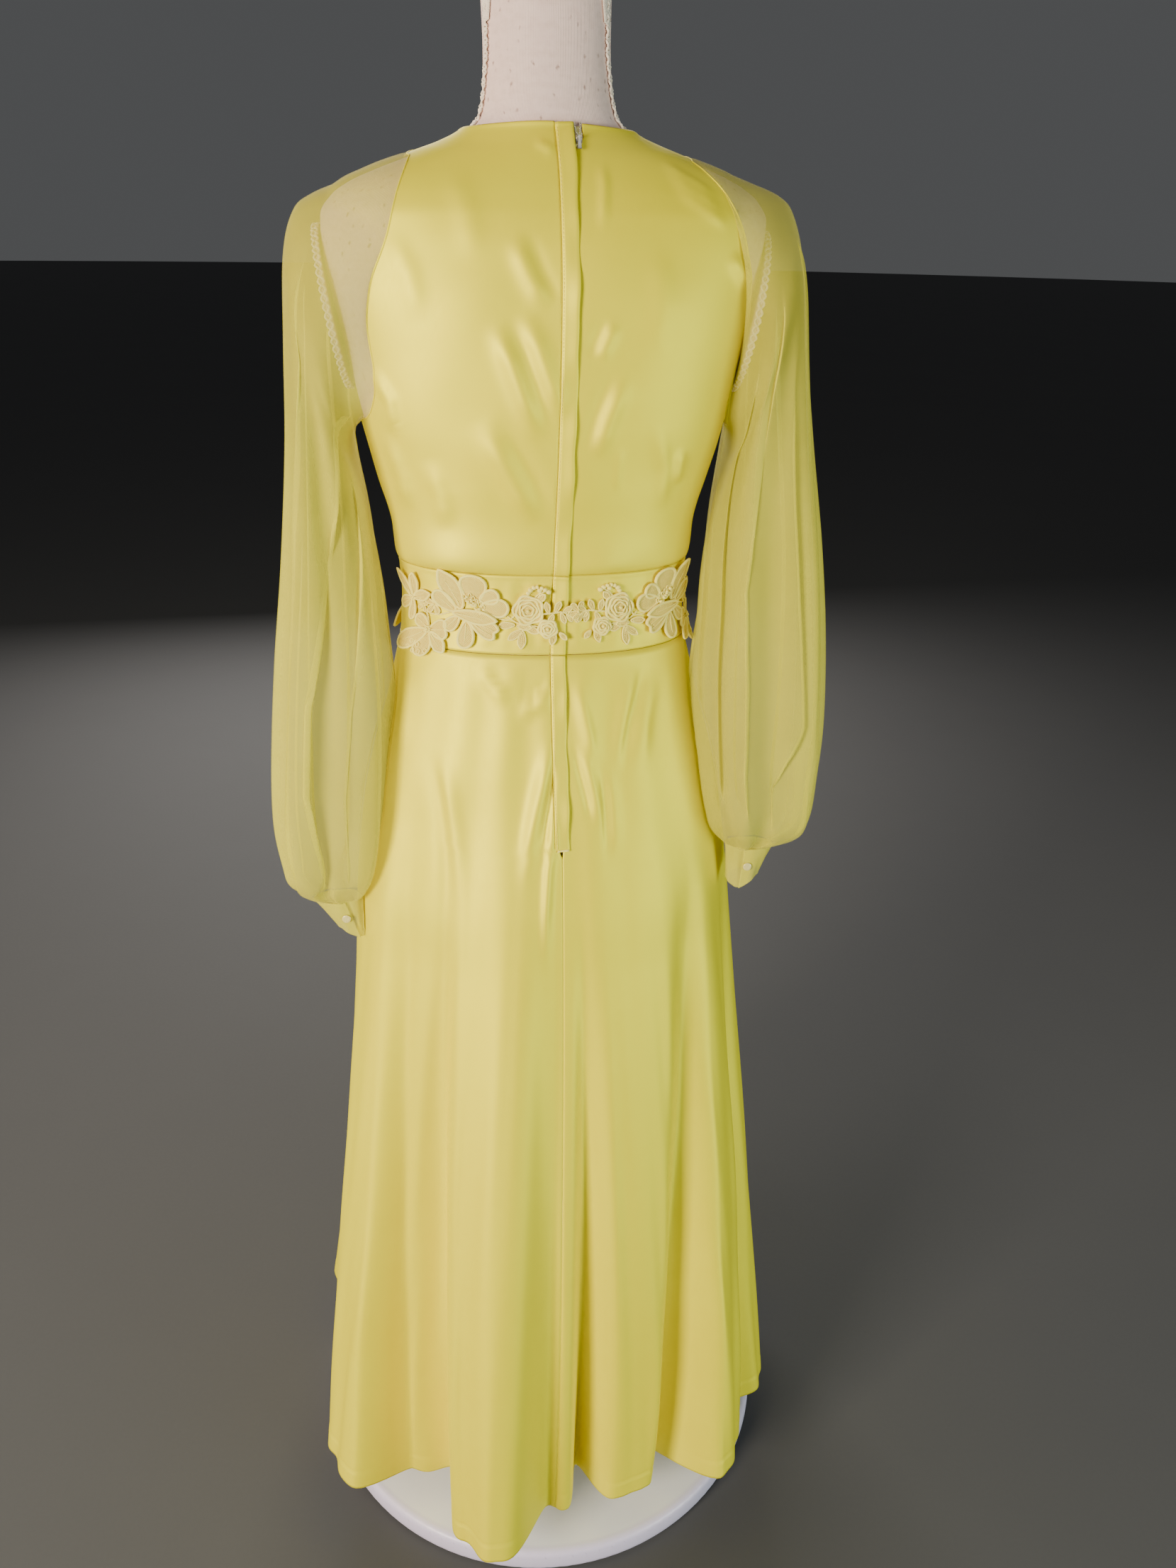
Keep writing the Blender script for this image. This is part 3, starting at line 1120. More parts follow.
def sleeve_ring(side, sign, row, turn):
    """One ring of a sleeve. A turn of 0 is the outer line, half a turn the inner line."""
    outer_left, outer_right, outer_z, inner_x, inner_z, half_depth, centre_y, fold = SLEEVE_SECTIONS[row]
    reach = SLEEVE_REACH[side]
    lowered = [SLEEVE_PIVOT - (SLEEVE_PIVOT - z) * reach if z < SLEEVE_PIVOT else z for z in (outer_z, inner_z)]
    drop = SHOULDER_DROP[side] * np.clip((outer_z - 1.36) / 0.05, 0, 1)
    outer = np.array([sign * (outer_left if sign < 0 else outer_right), centre_y, lowered[0] - drop])
    inner = np.array([sign * inner_x, centre_y, lowered[1]])
    across = (outer - inner) / 2
    wave = fold * np.cos(SLEEVE_WAVES * turn + 0.9 * np.sin(2 * turn) + (0.6 if sign > 0 else 0))
    size = 1 + wave / np.linalg.norm(across)
    ring = (outer + inner) / 2 + across * (np.cos(turn) * size)[:, None]
    ring[:, 1] -= (half_depth + wave) * np.sin(turn)
    aside, upward = SLEEVE_CORNER[side].get(row, (0, 0))
    return ring + MM * bell(turned_from(turn, 0), 0, 0.50)[:, None] * np.array([sign * aside, 0.0, upward])


def threaded(points, places, closed):
    """A smooth line of points through others, read at fractional places along the first axis."""
    count = len(points)
    if not closed:
        points = np.concatenate([[2 * points[0] - points[1]], points, [2 * points[-1] - points[-2]]])
        places = places + 1
    first = np.floor(places).astype(int)
    if not closed:
        first = np.clip(first, 1, count - 1)
    t = (places - first).reshape(-1, *([1] * (points.ndim - 1)))
    p0, p1, p2, p3 = (points[(first + k) % len(points)] for k in (-1, 0, 1, 2))
    return 0.5 * (2 * p1 + (p2 - p0) * t + (2 * p0 - 5 * p1 + 4 * p2 - p3) * t ** 2
                  + (3 * p1 - p0 - 3 * p2 + p3) * t ** 3)


def outward(points):
    """The unit direction out of a closed tube of points, by its rows and columns."""
    about = (np.roll(points, -1, axis=1) - np.roll(points, 1, axis=1)) / 2
    way = unit(np.cross(np.gradient(points, axis=0), about))
    return way if np.sum(way * (points - points.mean(axis=1, keepdims=True))) > 0 else -way


def smoothed(points, times):
    """Each ring of points drawn towards the middle of its neighbours."""
    for _ in range(times):
        points = (np.roll(points, 1, axis=1) + points + np.roll(points, -1, axis=1)) / 3
    return points


def sleeve_grid(side, sign):
    """The sleeve's plain tube from its armhole to its cuff, with the ring number and turn of each point."""
    loop = armhole_points(side, sign, np.arange(ARM_STEPS))
    lengths = run_lengths(np.concatenate([loop, loop[:1]]), 0)
    by_seam = TURN * lengths[:-1] / lengths[-1]
    held = loop - sleeve_ring(side, sign, 0, by_seam)
    rings = []
    for row in range(len(SLEEVE_SECTIONS)):
        turn = by_seam + (around(ARM_STEPS) - by_seam) * min((row + 1) / 6, 1.0)
        share = (0.62, 0.30, 0.10)[row] if row < 3 else 0
        rings.append(sleeve_ring(side, sign, row, turn) + held * share)
    places = np.arange(SLEEVE_AROUND) * ARM_STEPS / SLEEVE_AROUND
    seam = armhole_points(side, sign, places)
    dense = np.stack([seam] + [threaded(ring, places, True) for ring in rings])
    ring_places = in_stretches((0, 1, 5, 11, 14), (12, 30, 54, 38))
    points = threaded(dense, ring_places, False)
    points[0] = seam
    return points, ring_places[:, None], around(SLEEVE_AROUND)[None, :]


def sleeve_folds(side, ring, turn):
    """Long folds placed by hand, small gathers at the cap and fine pleats that draw in to the cuff."""
    rise = np.zeros(np.broadcast(ring, turn).shape)
    for top, low, width, height, first, last in SLEEVE_FOLDS[side]:
        share = np.clip((ring - 1 - first) / (last - first), 0, 1)
        away = turned_from(turn, np.radians(top + (low - top) * share))
        fade = eased((ring - 1 - first) / 2.5) * eased((last + 1.9 - ring) / 1.6)
        rise = rise + SLEEVE_FOLDING * MM * height * bell(away, 0, math.radians(width)) * fade
    phase = 0.4 if side == "left" else 2.2
    uneven = turn + 0.16 * np.sin(3 * turn + phase) + 0.07 * np.sin(7 * turn + 2 * phase)
    pleats = np.abs(np.sin(11 * uneven + phase)) ** 0.8 + 0.22 * np.sin(29 * uneven)
    middle = np.sin(5 * uneven + 0.25 * ring + phase) + 0.4 * np.sin(9 * uneven - 0.3 * ring)
    gathers = np.abs(np.sin(17 * uneven + 1.0)) - 0.5
    near_cuff = eased((ring - 11.8) / 2.2)
    between = eased((ring - 3) / 3) * eased((13.4 - ring) / 2)
    cap = eased(np.cos(turn) * 1.6 + 0.5) * eased(ring / 0.35) * eased((2.2 - ring) / 2.0)
    return rise + 0.0016 * (pleats - 0.6) * near_cuff + 0.0007 * middle * between + 0.0008 * gathers * cap


def pleated(points, side, ring, turn):
    """The cloth of a tube drawn along itself until it doubles back over itself at its pleats."""
    way = outward(points)
    drawn = np.zeros(np.broadcast(ring, turn).shape)
    lifted = np.zeros(drawn.shape)
    for line, width, overlap, top_side in SLEEVE_PLEATS[side]:
        rings, turns = zip(*line)
        reach = math.radians(width)
        share = turned_from(turn, np.radians(np.interp(ring, rings, turns))) / reach
        fade = eased((ring - rings[0]) / 1.6) * eased((rings[-1] - ring) / 1.2)
        drawn -= overlap * fade * reach * share * bell(share, 0, 1)
        lifted += top_side * PLEAT_LIFT * fade * np.tanh(1.6 * share) * bell(share, 0, 2.2)
    place = np.mod((turn + drawn) / TURN, 1.0) * SLEEVE_AROUND
    first = np.floor(place).astype(int) % SLEEVE_AROUND
    share = (place - np.floor(place))[..., None]
    row = np.arange(len(points))[:, None]
    after = (first + 1) % SLEEVE_AROUND
    moved, way = (field[row, first] * (1 - share) + field[row, after] * share for field in (points, way))
    return moved, unit(way), lifted


def fold_density(points):
    """How much the cloth turns aside at each place, from 0 where it lies smooth to 1 on the flank of a fold."""
    turned_aside = 1 - np.abs(np.sum(outward(points) * outward(smoothed(points, 60)), axis=-1))
    return np.clip(1.8 * turned_aside, 0, 1)


def make_sleeve(side, sign):
    points, ring, turn = sleeve_grid(side, sign)
    points, way, lifted = pleated(points, side, ring, turn)
    points = smoothed(points + way * (lifted + sleeve_folds(side, ring, turn))[..., None], 3)
    from_seam = eased(ring / 1.4)
    high = points[..., 2] > TORSO_LOW
    clearance = DRESS_LIFT + 0.0002 + 0.0014 * from_seam
    over_form = pushed_clear(points, FORM.radius, np.where(high, clearance, -1.0))
    points = np.where(high[..., None], over_form, points)
    low = points[..., 2] < ARM_LOW
    over_dress = pushed_clear(points, looks_radius, np.where(low, 0.0022, -1.0) * from_seam)
    points = np.where(low[..., None], over_dress, points)
    points[0] = armhole_points(side, sign, np.arange(SLEEVE_AROUND) * ARM_STEPS / SLEEVE_AROUND)
    made = cloth("sleeve_" + side + "_cloth", points, CHIFFON_WALL, CHIFFON, "chiffon", ["sleeve_" + side],
                 closed=True, round_itself=True, gathered=fold_density(points))


def cuff_points(side, sign, share, turn, lift):
    upper, lower = CUFF_EDGES[side]
    x, height, half_width, half_depth, lean = [MM * (a + (b - a) * share) for a, b in zip(upper, lower)]
    tip = 0.009 * share * np.maximum(0.0, np.cos(turn - 1.9)) ** 4
    across = sign * (x + (half_width + lift) * np.cos(turn))
    y = CUFF_Y - (half_depth + lift) * np.sin(turn)
    points = np.stack(np.broadcast_arrays(across, y, height + lean * np.cos(turn) - tip), axis=-1)
    return pushed_clear(points, looks_radius, 0.0020)


def make_cuff(side, sign):
    share = np.linspace(0, 1, 26)[:, None]
    along = spread(120)
    turn = 1.35 + TURN * (1 + CUFF_OVERLAP) * along
    lap = CUFF_LAP * np.clip((along - 0.78) / 0.12, 0, 1)
    pucker = 0.0005 * np.sin(46 * turn) * np.exp(-share / 0.10) + 0.0004 * np.sin(9 * turn + 3 * share)
    points = cuff_points(side, sign, share, turn, lap + pucker + 0.0004 * bell(share, 1, 0.04))
    made = cloth("cuff_" + side + "_cloth", points, CHIFFON_WALL * 1.6, CHIFFON, "chiffon", ["cuff_" + side],
                 round_itself=True, gathered=np.full(points.shape[:2], 0.45))


# Parts drawn with cords, pads and beads

class Needlework:
    """Gathers cords, pads and beads into one mesh. Flat work is drawn in s, t and out."""

    def __init__(self):
        self.points, self.faces, self.kinds, self.count = [], [], [], 0

    def add(self, points, faces, kind):
        self.points.append(np.asarray(points, float))
        self.faces += [tuple(int(place) + self.count for place in face) for face in faces]
        self.kinds += [kind] * len(faces)
        self.count += len(points)

    def cord(self, path, radius, closed=False, sides=6, kind=0, up=(0, 0, 1)):
        """A round cord along a path, with tapered, closed ends."""
        path = np.asarray(path, float)
        rows = len(path)
        radius = np.broadcast_to(radius, rows)
        beyond = np.roll(path, -1, axis=0) - np.roll(path, 1, axis=0)
        ahead = unit(beyond if closed else np.gradient(path, axis=0))
        aside = unit(np.cross(ahead, np.broadcast_to(np.asarray(up, float), ahead.shape)))
        above = np.cross(aside, ahead)
        bend = around(sides)[None, :, None]
        rings = path[:, None] + radius[:, None, None] * (
            np.cos(bend) * aside[:, None] + np.sin(bend) * above[:, None])
        points = rings.reshape(-1, 3)
        faces = []
        for row in range(rows if closed else rows - 1):
            here, after = row * sides, (row + 1) % rows * sides
            for k in range(sides):
                beside = (k + 1) % sides
                faces.append((here + k, after + k, after + beside, here + beside))
        if not closed:
            tips = [path[0] - ahead[0] * radius[0] * 0.6, path[-1] + ahead[-1] * radius[-1] * 0.6]
            faces += fan(len(points), 0, sides) + fan(len(points) + 1, (rows - 1) * sides, sides, turned=True)
            points = np.concatenate([points, tips])
        self.add(points, faces, kind)

    def ring(self, centre, reach, thickness, count, sides=6):
        """A flat ring of cord, in millimetres."""
        turn = around(count)
        path = np.column_stack([centre[0] + reach[0] * np.cos(turn), centre[1] + reach[1] * np.sin(turn),
                                np.full(count, centre[2])])
        self.cord(path * MM, thickness * MM, closed=True, sides=sides)

    def pad(self, outline, edge, rise, low=0.0, tilt=None):
        """A domed, closed pad inside an outline that runs anticlockwise."""
        outline = np.asarray(outline, float)
        count = len(outline)
        centre = outline.mean(axis=0)
        shares = (1.0, 0.86, 0.62, 0.34)
        points = [np.column_stack([outline, np.zeros(count)])]
        for share in shares:
            ring = centre + (outline - centre) * share
            points.append(np.column_stack([ring, np.full(count, edge + rise * (1 - share ** 2))]))
        points = np.concatenate(points + [[[*centre, 0.0]], [[*centre, edge + rise]]])
        if tilt is not None:
            points[:, 2] += tilt(points[:, :2])
        points[:, 2] += low
        top = len(shares) * count
        faces = [*grid_faces(len(shares) + 1, count, True)]
        self.add(points, faces + fan(top + count, 0, count, turned=True) + fan(top + count + 1, top, count), 1)

    def bead(self, place, radius):
        """A round bead, in millimetres."""
        bends, sides = math.pi * np.arange(1, 4) / 4, 8
        points = polar(QUARTER + around(sides)[None, :], np.sin(bends)[:, None], -np.cos(bends)[:, None])
        points = np.concatenate([[[0, 0, -1]], points.reshape(-1, 3), [[0, 0, 1]]])
        top = len(points) - 1
        faces = fan(0, 1, sides, turned=True) + [*(grid_faces(3, sides, True) + 1)] + fan(top, top - sides, sides)
        self.add(MM * (np.asarray(place) + radius * points), faces, 0)

    def bead_ring(self, centre, reach, radius, count):
        for turn in around(count):
            self.bead((centre[0] + reach * math.cos(turn), centre[1] + reach * math.sin(turn), centre[2]), radius)

    def piece(self, name, materials, slot, nodes=(), place=None, mirrored=False):
        flat = np.concatenate(self.points)
        placed = flat if place is None else place(flat)
        faces = [face[::-1] for face in self.faces] if mirrored else self.faces
        corners = [flat[k][:2] for face in faces for k in face]
        return seated(meshed(name, placed, faces, materials, corners, self.kinds), slot, *nodes)


def petal_outline(s, t, length, width, lean, tip):
    """A petal's outline from the place it grows from, in millimetres, with its lean in degrees."""
    bend = around(26)
    along = length / 2 * (1 - np.cos(bend))
    aside = width / 2 * np.sin(-bend) * (0.55 + 0.62 * along / length)
    if tip == "pointed":
        along = along + 0.12 * length * bell(bend, math.pi, 0.42)
        aside = aside * (1 - 0.35 * bell(bend, math.pi, 0.42))
    if tip == "notched":
        along = along - 0.16 * length * bell(bend, math.pi, 0.34)
    turn = math.radians(lean)
    outline = np.column_stack([s + along * math.cos(turn) - aside * math.sin(turn),
                               t + along * math.sin(turn) + aside * math.cos(turn)])
    return outline[::-1] if signed_area(outline) < 0 else outline


def signed_area(outline):
    ahead = np.roll(outline, -1, axis=0)
    return float(np.sum(outline[:, 0] * ahead[:, 1] - ahead[:, 0] * outline[:, 1]))


def add_petal(work, s, t, length, width, lean, tip="round", low=0.0, lift=1.5, cord=1.15, veins=0, rise=1.1):
    """A stitched petal with a raised cord round it. It lifts towards its tip."""
    outline = petal_outline(s, t, length, width, lean, tip)
    turn = math.radians(lean)
    ahead = np.array([math.cos(turn), math.sin(turn)])

    def tilt(flat):
        share = np.clip(((flat - np.array([s, t]) * MM) @ ahead) / (length * MM), 0, 1)
        return lift * MM * share ** 1.5

    work.pad(outline * MM, 0.7 * MM, rise * MM, low * MM, tilt)
    inner = outline.mean(axis=0) + (outline - outline.mean(axis=0)) * 0.97
    rim = np.column_stack([inner * MM, (low + 1.0) * MM + tilt(inner * MM)])
    work.cord(rim, cord * MM, closed=True)
    for k in range(veins):
        spread = (k - (veins - 1) / 2) * 0.26
        along = np.linspace(0.12, 0.80, 8)
        beside = np.array([-ahead[1], ahead[0]])
        line = (np.array([s, t]) + np.outer(along * length, ahead)
                + np.outer(np.sin(along * math.pi * 0.7) * spread * width, beside))
        work.cord(np.column_stack([line * MM, (low + 1.35 + rise * 0.6) * MM + tilt(line * MM)]),
                  0.42 * cord * MM * np.linspace(1.1, 0.5, 8), sides=5)


def add_rose(work, s, t, radius, loops, low=0.0, seed=0.0):
    """A rose of wavy cords round a bead, on a stitched ground."""
    turn = around(40)
    ring = np.column_stack([np.cos(turn), np.sin(turn)])
    reach = radius * (1 + 0.05 * np.cos(5 * turn + seed))
    work.pad(((s, t) + reach[:, None] * ring) * MM, 0.8 * MM, 1.4 * MM, low * MM)
    for k in range(loops):
        reach = radius * (0.96 - 0.80 * k / loops) * (1 + 0.075 * np.cos(5 * turn + seed + 1.7 * k))
        out = low + 1.3 + 0.55 * k + 0.25 * np.cos(5 * turn + 2.1 * k)
        path = np.column_stack([(s, t) + reach[:, None] * ring, out])
        work.cord(path * MM, (1.25 - 0.12 * k) * MM, closed=True)
    work.bead((s, t, low + 1.6 + 0.55 * loops), 1.5)


def add_stem(work, path, low):
    """Two thin cords twisted into a stem."""
    path = np.asarray(path, float)
    count = max(int(np.linalg.norm(path[-1] - path[0]) / 1.3), 6)
    line = threaded(path, np.linspace(0, len(path) - 1, count), False)
    ahead = np.gradient(line, axis=0)
    beside = unit(np.column_stack([-ahead[:, 1], ahead[:, 0]]))
    twist = 1.5 * np.arange(count)
    for sign in (-1, 1):
        swung = line + beside * (sign * 0.42 * STEM_RADIUS * np.cos(twist))[:, None]
        lift = low + sign * 0.3 * STEM_RADIUS * np.sin(twist)
        work.cord(np.column_stack([swung, lift]) * MM, 0.62 * STEM_RADIUS * MM, sides=5)


LACE_FIT = 0.0006
LACE_OVER_LAP = 0.0030
LACE_STAND = 0.0035
STEM_RADIUS = 0.95

# Petals of each flower: s and t of the place it grows from, length, width, lean, tip, layer, lift, cord, veins
BIG_FLOWER = (
    (89, 3, 36, 21, 64, "pointed", 0.3, 2.6, 1.35, 1), (94, 1, 26, 16, 36, "round", 0.9, 2.2, 1.30, 1),
    (78, 9, 27, 27, 92, "round", 0.0, 2.0, 1.35, 0), (72, 13, 19, 15, 163, "round", 0.6, 1.8, 1.25, 0),
    (71, 7, 26, 18, 182, "round", 1.0, 1.8, 1.30, 0), (91, -4, 17, 13, 312, "round", 1.0, 1.4, 1.20, 1),
    (83, -7, 25, 16, 267, "round", 1.5, 1.8, 1.30, 1), (79, -7, 29, 17, 203, "notched", 2.0, 2.0, 1.30, 2),
    (96, 0, 38, 13, 187, "pointed", 2.8, 1.6, 1.30, 1),
)
LOW_FLOWER = (
    (122, -19, 17, 14, 32, "round", 0.2, 1.6, 1.15, 1), (120, -20, 21, 20, 172, "notched", 0.5, 2.0, 1.20, 1),
    (122, -21, 25, 20, 283, "round", 0.2, 2.0, 1.20, 0), (119, -22, 22, 13, 222, "pointed", 0.9, 1.8, 1.10, 1),
    (122, -21, 38, 19, 330, "round", 1.1, 2.4, 1.25, 1),
)
SIDE_FLOWER = (
    (144, 6, 23, 12, 105, "pointed", 0.3, 1.8, 1.05, 2), (144, 6, 23, 11, 163, "pointed", 0.5, 1.6, 1.05, 2),
    (145, 6, 27, 12, 50, "pointed", 0.3, 1.8, 1.05, 2), (145, 5, 19, 12, 332, "round", 0.4, 1.4, 1.00, 2),
    (144, 5, 20, 10, 268, "round", 0.6, 1.4, 1.00, 2),
)
SPRIG_LEAVES = (
    (10, 3, 10, 5.4, 78), (4, 4, 10, 5.4, 112), (-3, 4, 9, 5.0, 150), (-8, 1, 8, 4.6, 200), (-1, 3, 9, 5.0, 250),
    (6, 2, 9, 5.0, 292), (-6, 2, 8, 4.4, 232),
)
ROSE_LEAVES = (
    (38, -10, 12, 6.6, 184), (33, -13, 14, 7.0, 322), (33, -14, 15, 7.4, 272), (31, -11, 12, 6.2, 200),
    (5, -13, 12, 6.0, 282), (40, -9, 13, 6.8, 356), (20, 12, 10, 6.0, 128), (1, -15, 8, 4.6, 225),
)


def add_flower(work, lead, petals):
    for s, t, length, width, lean, tip, low, lift, cord, veins in petals:
        add_petal(work, s + lead, t, length, width, lean, tip, low, lift, cord, veins)


def add_knots(work, lead, start, end, count, out):
    """A strip of small stitched knots between two places."""
    for k in range(count):
        s, t = (a + (b - a) * k / (count - 1) for a, b in zip(start, end))
        side = 1.7 * math.sin(k * 2.4)
        work.bead((s + side * 0.7 + lead, t + side, out + 0.5 * math.sin(k * 1.7)), 1.25 + 0.3 * math.sin(k * 3.1))


def add_big_flower(work, lead):
    """The largest flower: broad stitched petals behind, a split petal in front, and a strip of knots between."""
    add_flower(work, lead, BIG_FLOWER)
    add_knots(work, lead, (86, 15), (68, 0), 19, 3.8)
    add_knots(work, lead, (82, 16), (70, 5), 9, 4.4)
    for k in range(5):
        work.ring((lead + 80 - 3.0 * k, 17 - 2.6 * k, 3.0), (1.3, 2.0), 0.5, 10, sides=5)


def add_low_flower(work, lead):
    """The lower flower, with round eyelets along its bottom edge."""
    add_flower(work, lead, LOW_FLOWER)
    for s, t in ((146, -37), (140, -40), (133, -42), (126, -42), (119, -40), (137, -34), (129, -36)):
        work.ring((s + lead, t, 3.4), (2.0, 2.0), 0.55, 12, sides=5)
    work.bead_ring((lead + 121, -20, 3.4), 2.6, 1.1, 9)
    work.bead((lead + 121, -20, 4.0), 1.6)


def add_small_flower(work, s, t, reach, leans, width, low=0.0, cord=0.8, centre=1.3):
    for lean in leans:
        turn = math.radians(lean)
        add_petal(work, s + 0.1 * reach * math.cos(turn), t + 0.1 * reach * math.sin(turn), reach, width, lean,
                  "round", low, 0.9, cord, veins=1, rise=0.7)
    work.bead((s, t, low + 2.0), centre)


def draw_run(lead, with_side_flower):
    """One run of the lace from the zip or the centre front towards the side seam."""
    work = Needlework()

    def stem(*path, low=0.8):
        add_stem(work, [(s + lead, t) for s, t in path], low)

    def leaves(table, low, lift, cord, veins, rise):
        for s, t, length, width, lean in table:
            add_petal(work, s + lead, t, length, width, lean, "pointed", low, lift, cord, veins, rise)

    leaves(SPRIG_LEAVES, 0.3, 0.8, 0.65, 1, 0.7)
    stem((19, 2), (8, 3), (-2, 4), (-10, 0), low=1.6)
    if lead > 20:
        add_small_flower(work, lead - 11, 4, 9, (62, 128, 200, 262, 335), 5.6, cord=0.6)
    stem((22, 1), (17, -3), (14, -7))
    add_rose(work, 28 + lead, 5, 13.5, 4, 0.4)
    add_rose(work, 11 + lead, -11, 8.0, 3, 0.6, 1.1)
    leaves(ROSE_LEAVES, 0.0, 0.6, 0.75, 3, 0.8)
    for k, (s, t) in enumerate(((28, 21), (26, 24), (23, 26), (20, 27), (16, 26.5), (13, 25), (10, 23), (18, 24))):
        work.bead((s + lead, t, 1.6 + 0.4 * math.sin(2 * k)), 2.1 + 0.3 * math.sin(1.3 * k))
    stem((23, 15), (19, 20), (14, 23))
    stem((47, -1), (40, -6), (30, -9), (19, -10))
    stem((40, 0), (45, -4), (54, -4), (62, -1))
    add_big_flower(work, lead)
    stem((139, 5), (131, -1), (123, -5), (112, -5), (100, -1))
    add_small_flower(work, 117 + lead, 4, 9, (20, 92, 164, 236, 308), 5.6, low=0.5, cord=0.65)
    add_small_flower(work, 130 + lead, 1, 6, (60, 150, 240, 330), 4.0, low=0.3, cord=0.5, centre=0.9)
    stem((127, -4), (124, -10), (122, -17))
    add_low_flower(work, lead)
    if with_side_flower:
        add_flower(work, lead, SIDE_FLOWER)
        work.bead_ring((lead + 144, 6, 2.8), 1.8, 0.9, 6)
    return work


def make_lace():
    middle = (BAND_TOP + BAND_LOW) / 2
    zip_angle = float(angle_at(ZIP(middle) - LAP_WIDTH / 2, middle))
    runs = (("back_left", zip_angle, -1, 0), ("back_right", zip_angle, 1, 27),
            ("front_left", math.pi, 1, 12), ("front_right", math.pi, -1, 12))
    for name, start, sign, lead in runs:
        over_zip = start == zip_angle
        angles = start + sign * math.pi * np.arange(241) / 300
        walk = polar(angles, dress_radius(angles, np.full(241, middle)), middle)
        gone = run_lengths(walk, 0)

        def bent(flat):
            s, t, out = flat.T
            angle = np.interp(s, gone, angles) - sign * np.maximum(-s, 0) / 0.09
            height = middle + t
            lift = LACE_FIT + out + LACE_STAND * np.clip((s - 0.07) / 0.08, 0, 1) * (t / 0.04) ** 2
            if over_zip:
                lift = lift + LACE_OVER_LAP * np.clip((0.022 - s) / 0.008, 0, 1) * np.clip((s + 0.014) / 0.004, 0, 1)
            return polar(angle, dress_radius(angle, height) + lift, height)

        work = draw_run(lead, over_zip)
        work.piece("flower_lace_" + name, [LACE_CORD, LACE_FILL], "lace_thread", ["lace_" + name], bent, sign < 0)


# The zip

def strip_surface(x, height, lift):
    """Points over the dress near the centre back, lifted from the form's side of the cloth."""
    upper = surface(angle_at(x, height), height, CLOTH_LIFT + lift)
    lower = surface(angle_at(x, height, skirt_radius), height, lift - LAP_LIFT, rippled_radius)
    return np.where((height >= BAND_LOW)[..., None], upper, lower)


def dress_folds(x, height):
    """The folds that the lap shares with the back panels beside it."""
    folds = bodice_folds(np.zeros(np.shape(x)), x, height)
    return np.where(height > BODICE_LOW, folds, 0.0)


def neck_edge():
    """The height of the bodice's top edge at the zip."""
    return float(bodice_height(angle_at(ZIP(NAPE), NAPE), NECK_SIDE))


def make_laps():
    across = np.array(LAP_STEPS)[None, :]
    rise = np.interp(across, *LAP_PROFILE) - 0.0004 * bell(across, STITCH_PLACE, 0.03)
    spans = (("bodice", neck_edge() - 0.0004, BODICE_LOW, 160, 0.016, 0.362),
             ("band", BODICE_LOW - SEAM, BAND_LOW, 44, 0.0155, 0.074),
             ("skirt", BAND_LOW - SEAM, ZIP_END, 110, 0.0154, 0.187))
    for name, high, low, rows, width, length in spans:
        height = np.linspace(high, low, rows)[:, None] + 0 * across
        free_edge = 0.0004 * np.sin(70 * height) + 0.0003 * np.sin(161 * height + 1)
        x = ZIP(height) - (LAP_WIDTH - SEAM) * (1 - across) + free_edge * across
        waves = np.sin(57 * height + 0.5) + 0.6 * np.sin(121 * height) + 0.6
        folds = dress_folds(x, height) + 0.0009 * eased((across - 0.15) / 0.85) * waves
        if name == "band":
            folds = folds + band_folds(np.zeros(x.shape), height)
        points = strip_surface(x, height, LAP_LIFT + rise + folds)
        satin_piece("zip_lap_" + name, points)


def make_stitches():
    """The row of stitches that holds the lap, and the bar of them at its foot."""
    work = Needlework()
    for height in np.arange(ZIP_END + 0.004, NAPE - 0.004, 0.0030):
        x = np.full(4, ZIP(height) - (LAP_WIDTH - SEAM) * (1 - STITCH_PLACE))
        line = np.linspace(height - 0.0010, height + 0.0010, 4)
        lift = LAP_LIFT + 0.0014 + dress_folds(x, line) + 0.0002 * np.sin(np.linspace(0, math.pi, 4))
        work.cord(strip_surface(x, line, lift), 0.00022, sides=5, up=(0, -1, 0))
    for k in range(9):
        line = np.full(6, ZIP_END + 0.0006 + 0.0002 * (k - 4))
        points = strip_surface(np.linspace(0.0072, 0.0196, 6), line, LAP_LIFT + 0.0021 + 0.0001 * (k % 2))
        work.cord(points, 0.0002, sides=5)
    work.piece("lap_stitches", [LACE_CORD], "satin_knit")


def make_tape():
    height = np.linspace(neck_edge() - 0.0028, ZIP_END + 0.003, 230)[:, None] + 0 * spread(9)
    right = TAPE_RIGHT + (TAPE_AT_NECK - TAPE_RIGHT) * neck_opening(height)
    x = ZIP(height) + TAPE_LEFT + (right - TAPE_LEFT) * spread(9)
    points = strip_surface(x, height, TAPE_WALL + np.minimum(dress_folds(x, height), 0.0004))
    made = cloth("zip_tape_cloth", points, 0.0006, TAPE, "zip_tape", ["zip_tape"])


SLIDER_HEIGHT = 1.4695
SLIDER_MIDDLE = 0.0037
SLIDER_WIDTH = 0.0052
SLIDER_LENGTH = 0.0080
SLIDER_THICKNESS = 0.0020
LUG_WIDTH = 0.0008
LUG_LENGTH = 0.0024
LUG_RISE = 0.0022
LUG_INSET = 0.0003
PULL_WIDTH = 0.0024
PULL_LENGTH = 0.0150
PULL_THICKNESS = 0.0009
PULL_END = 0.0038


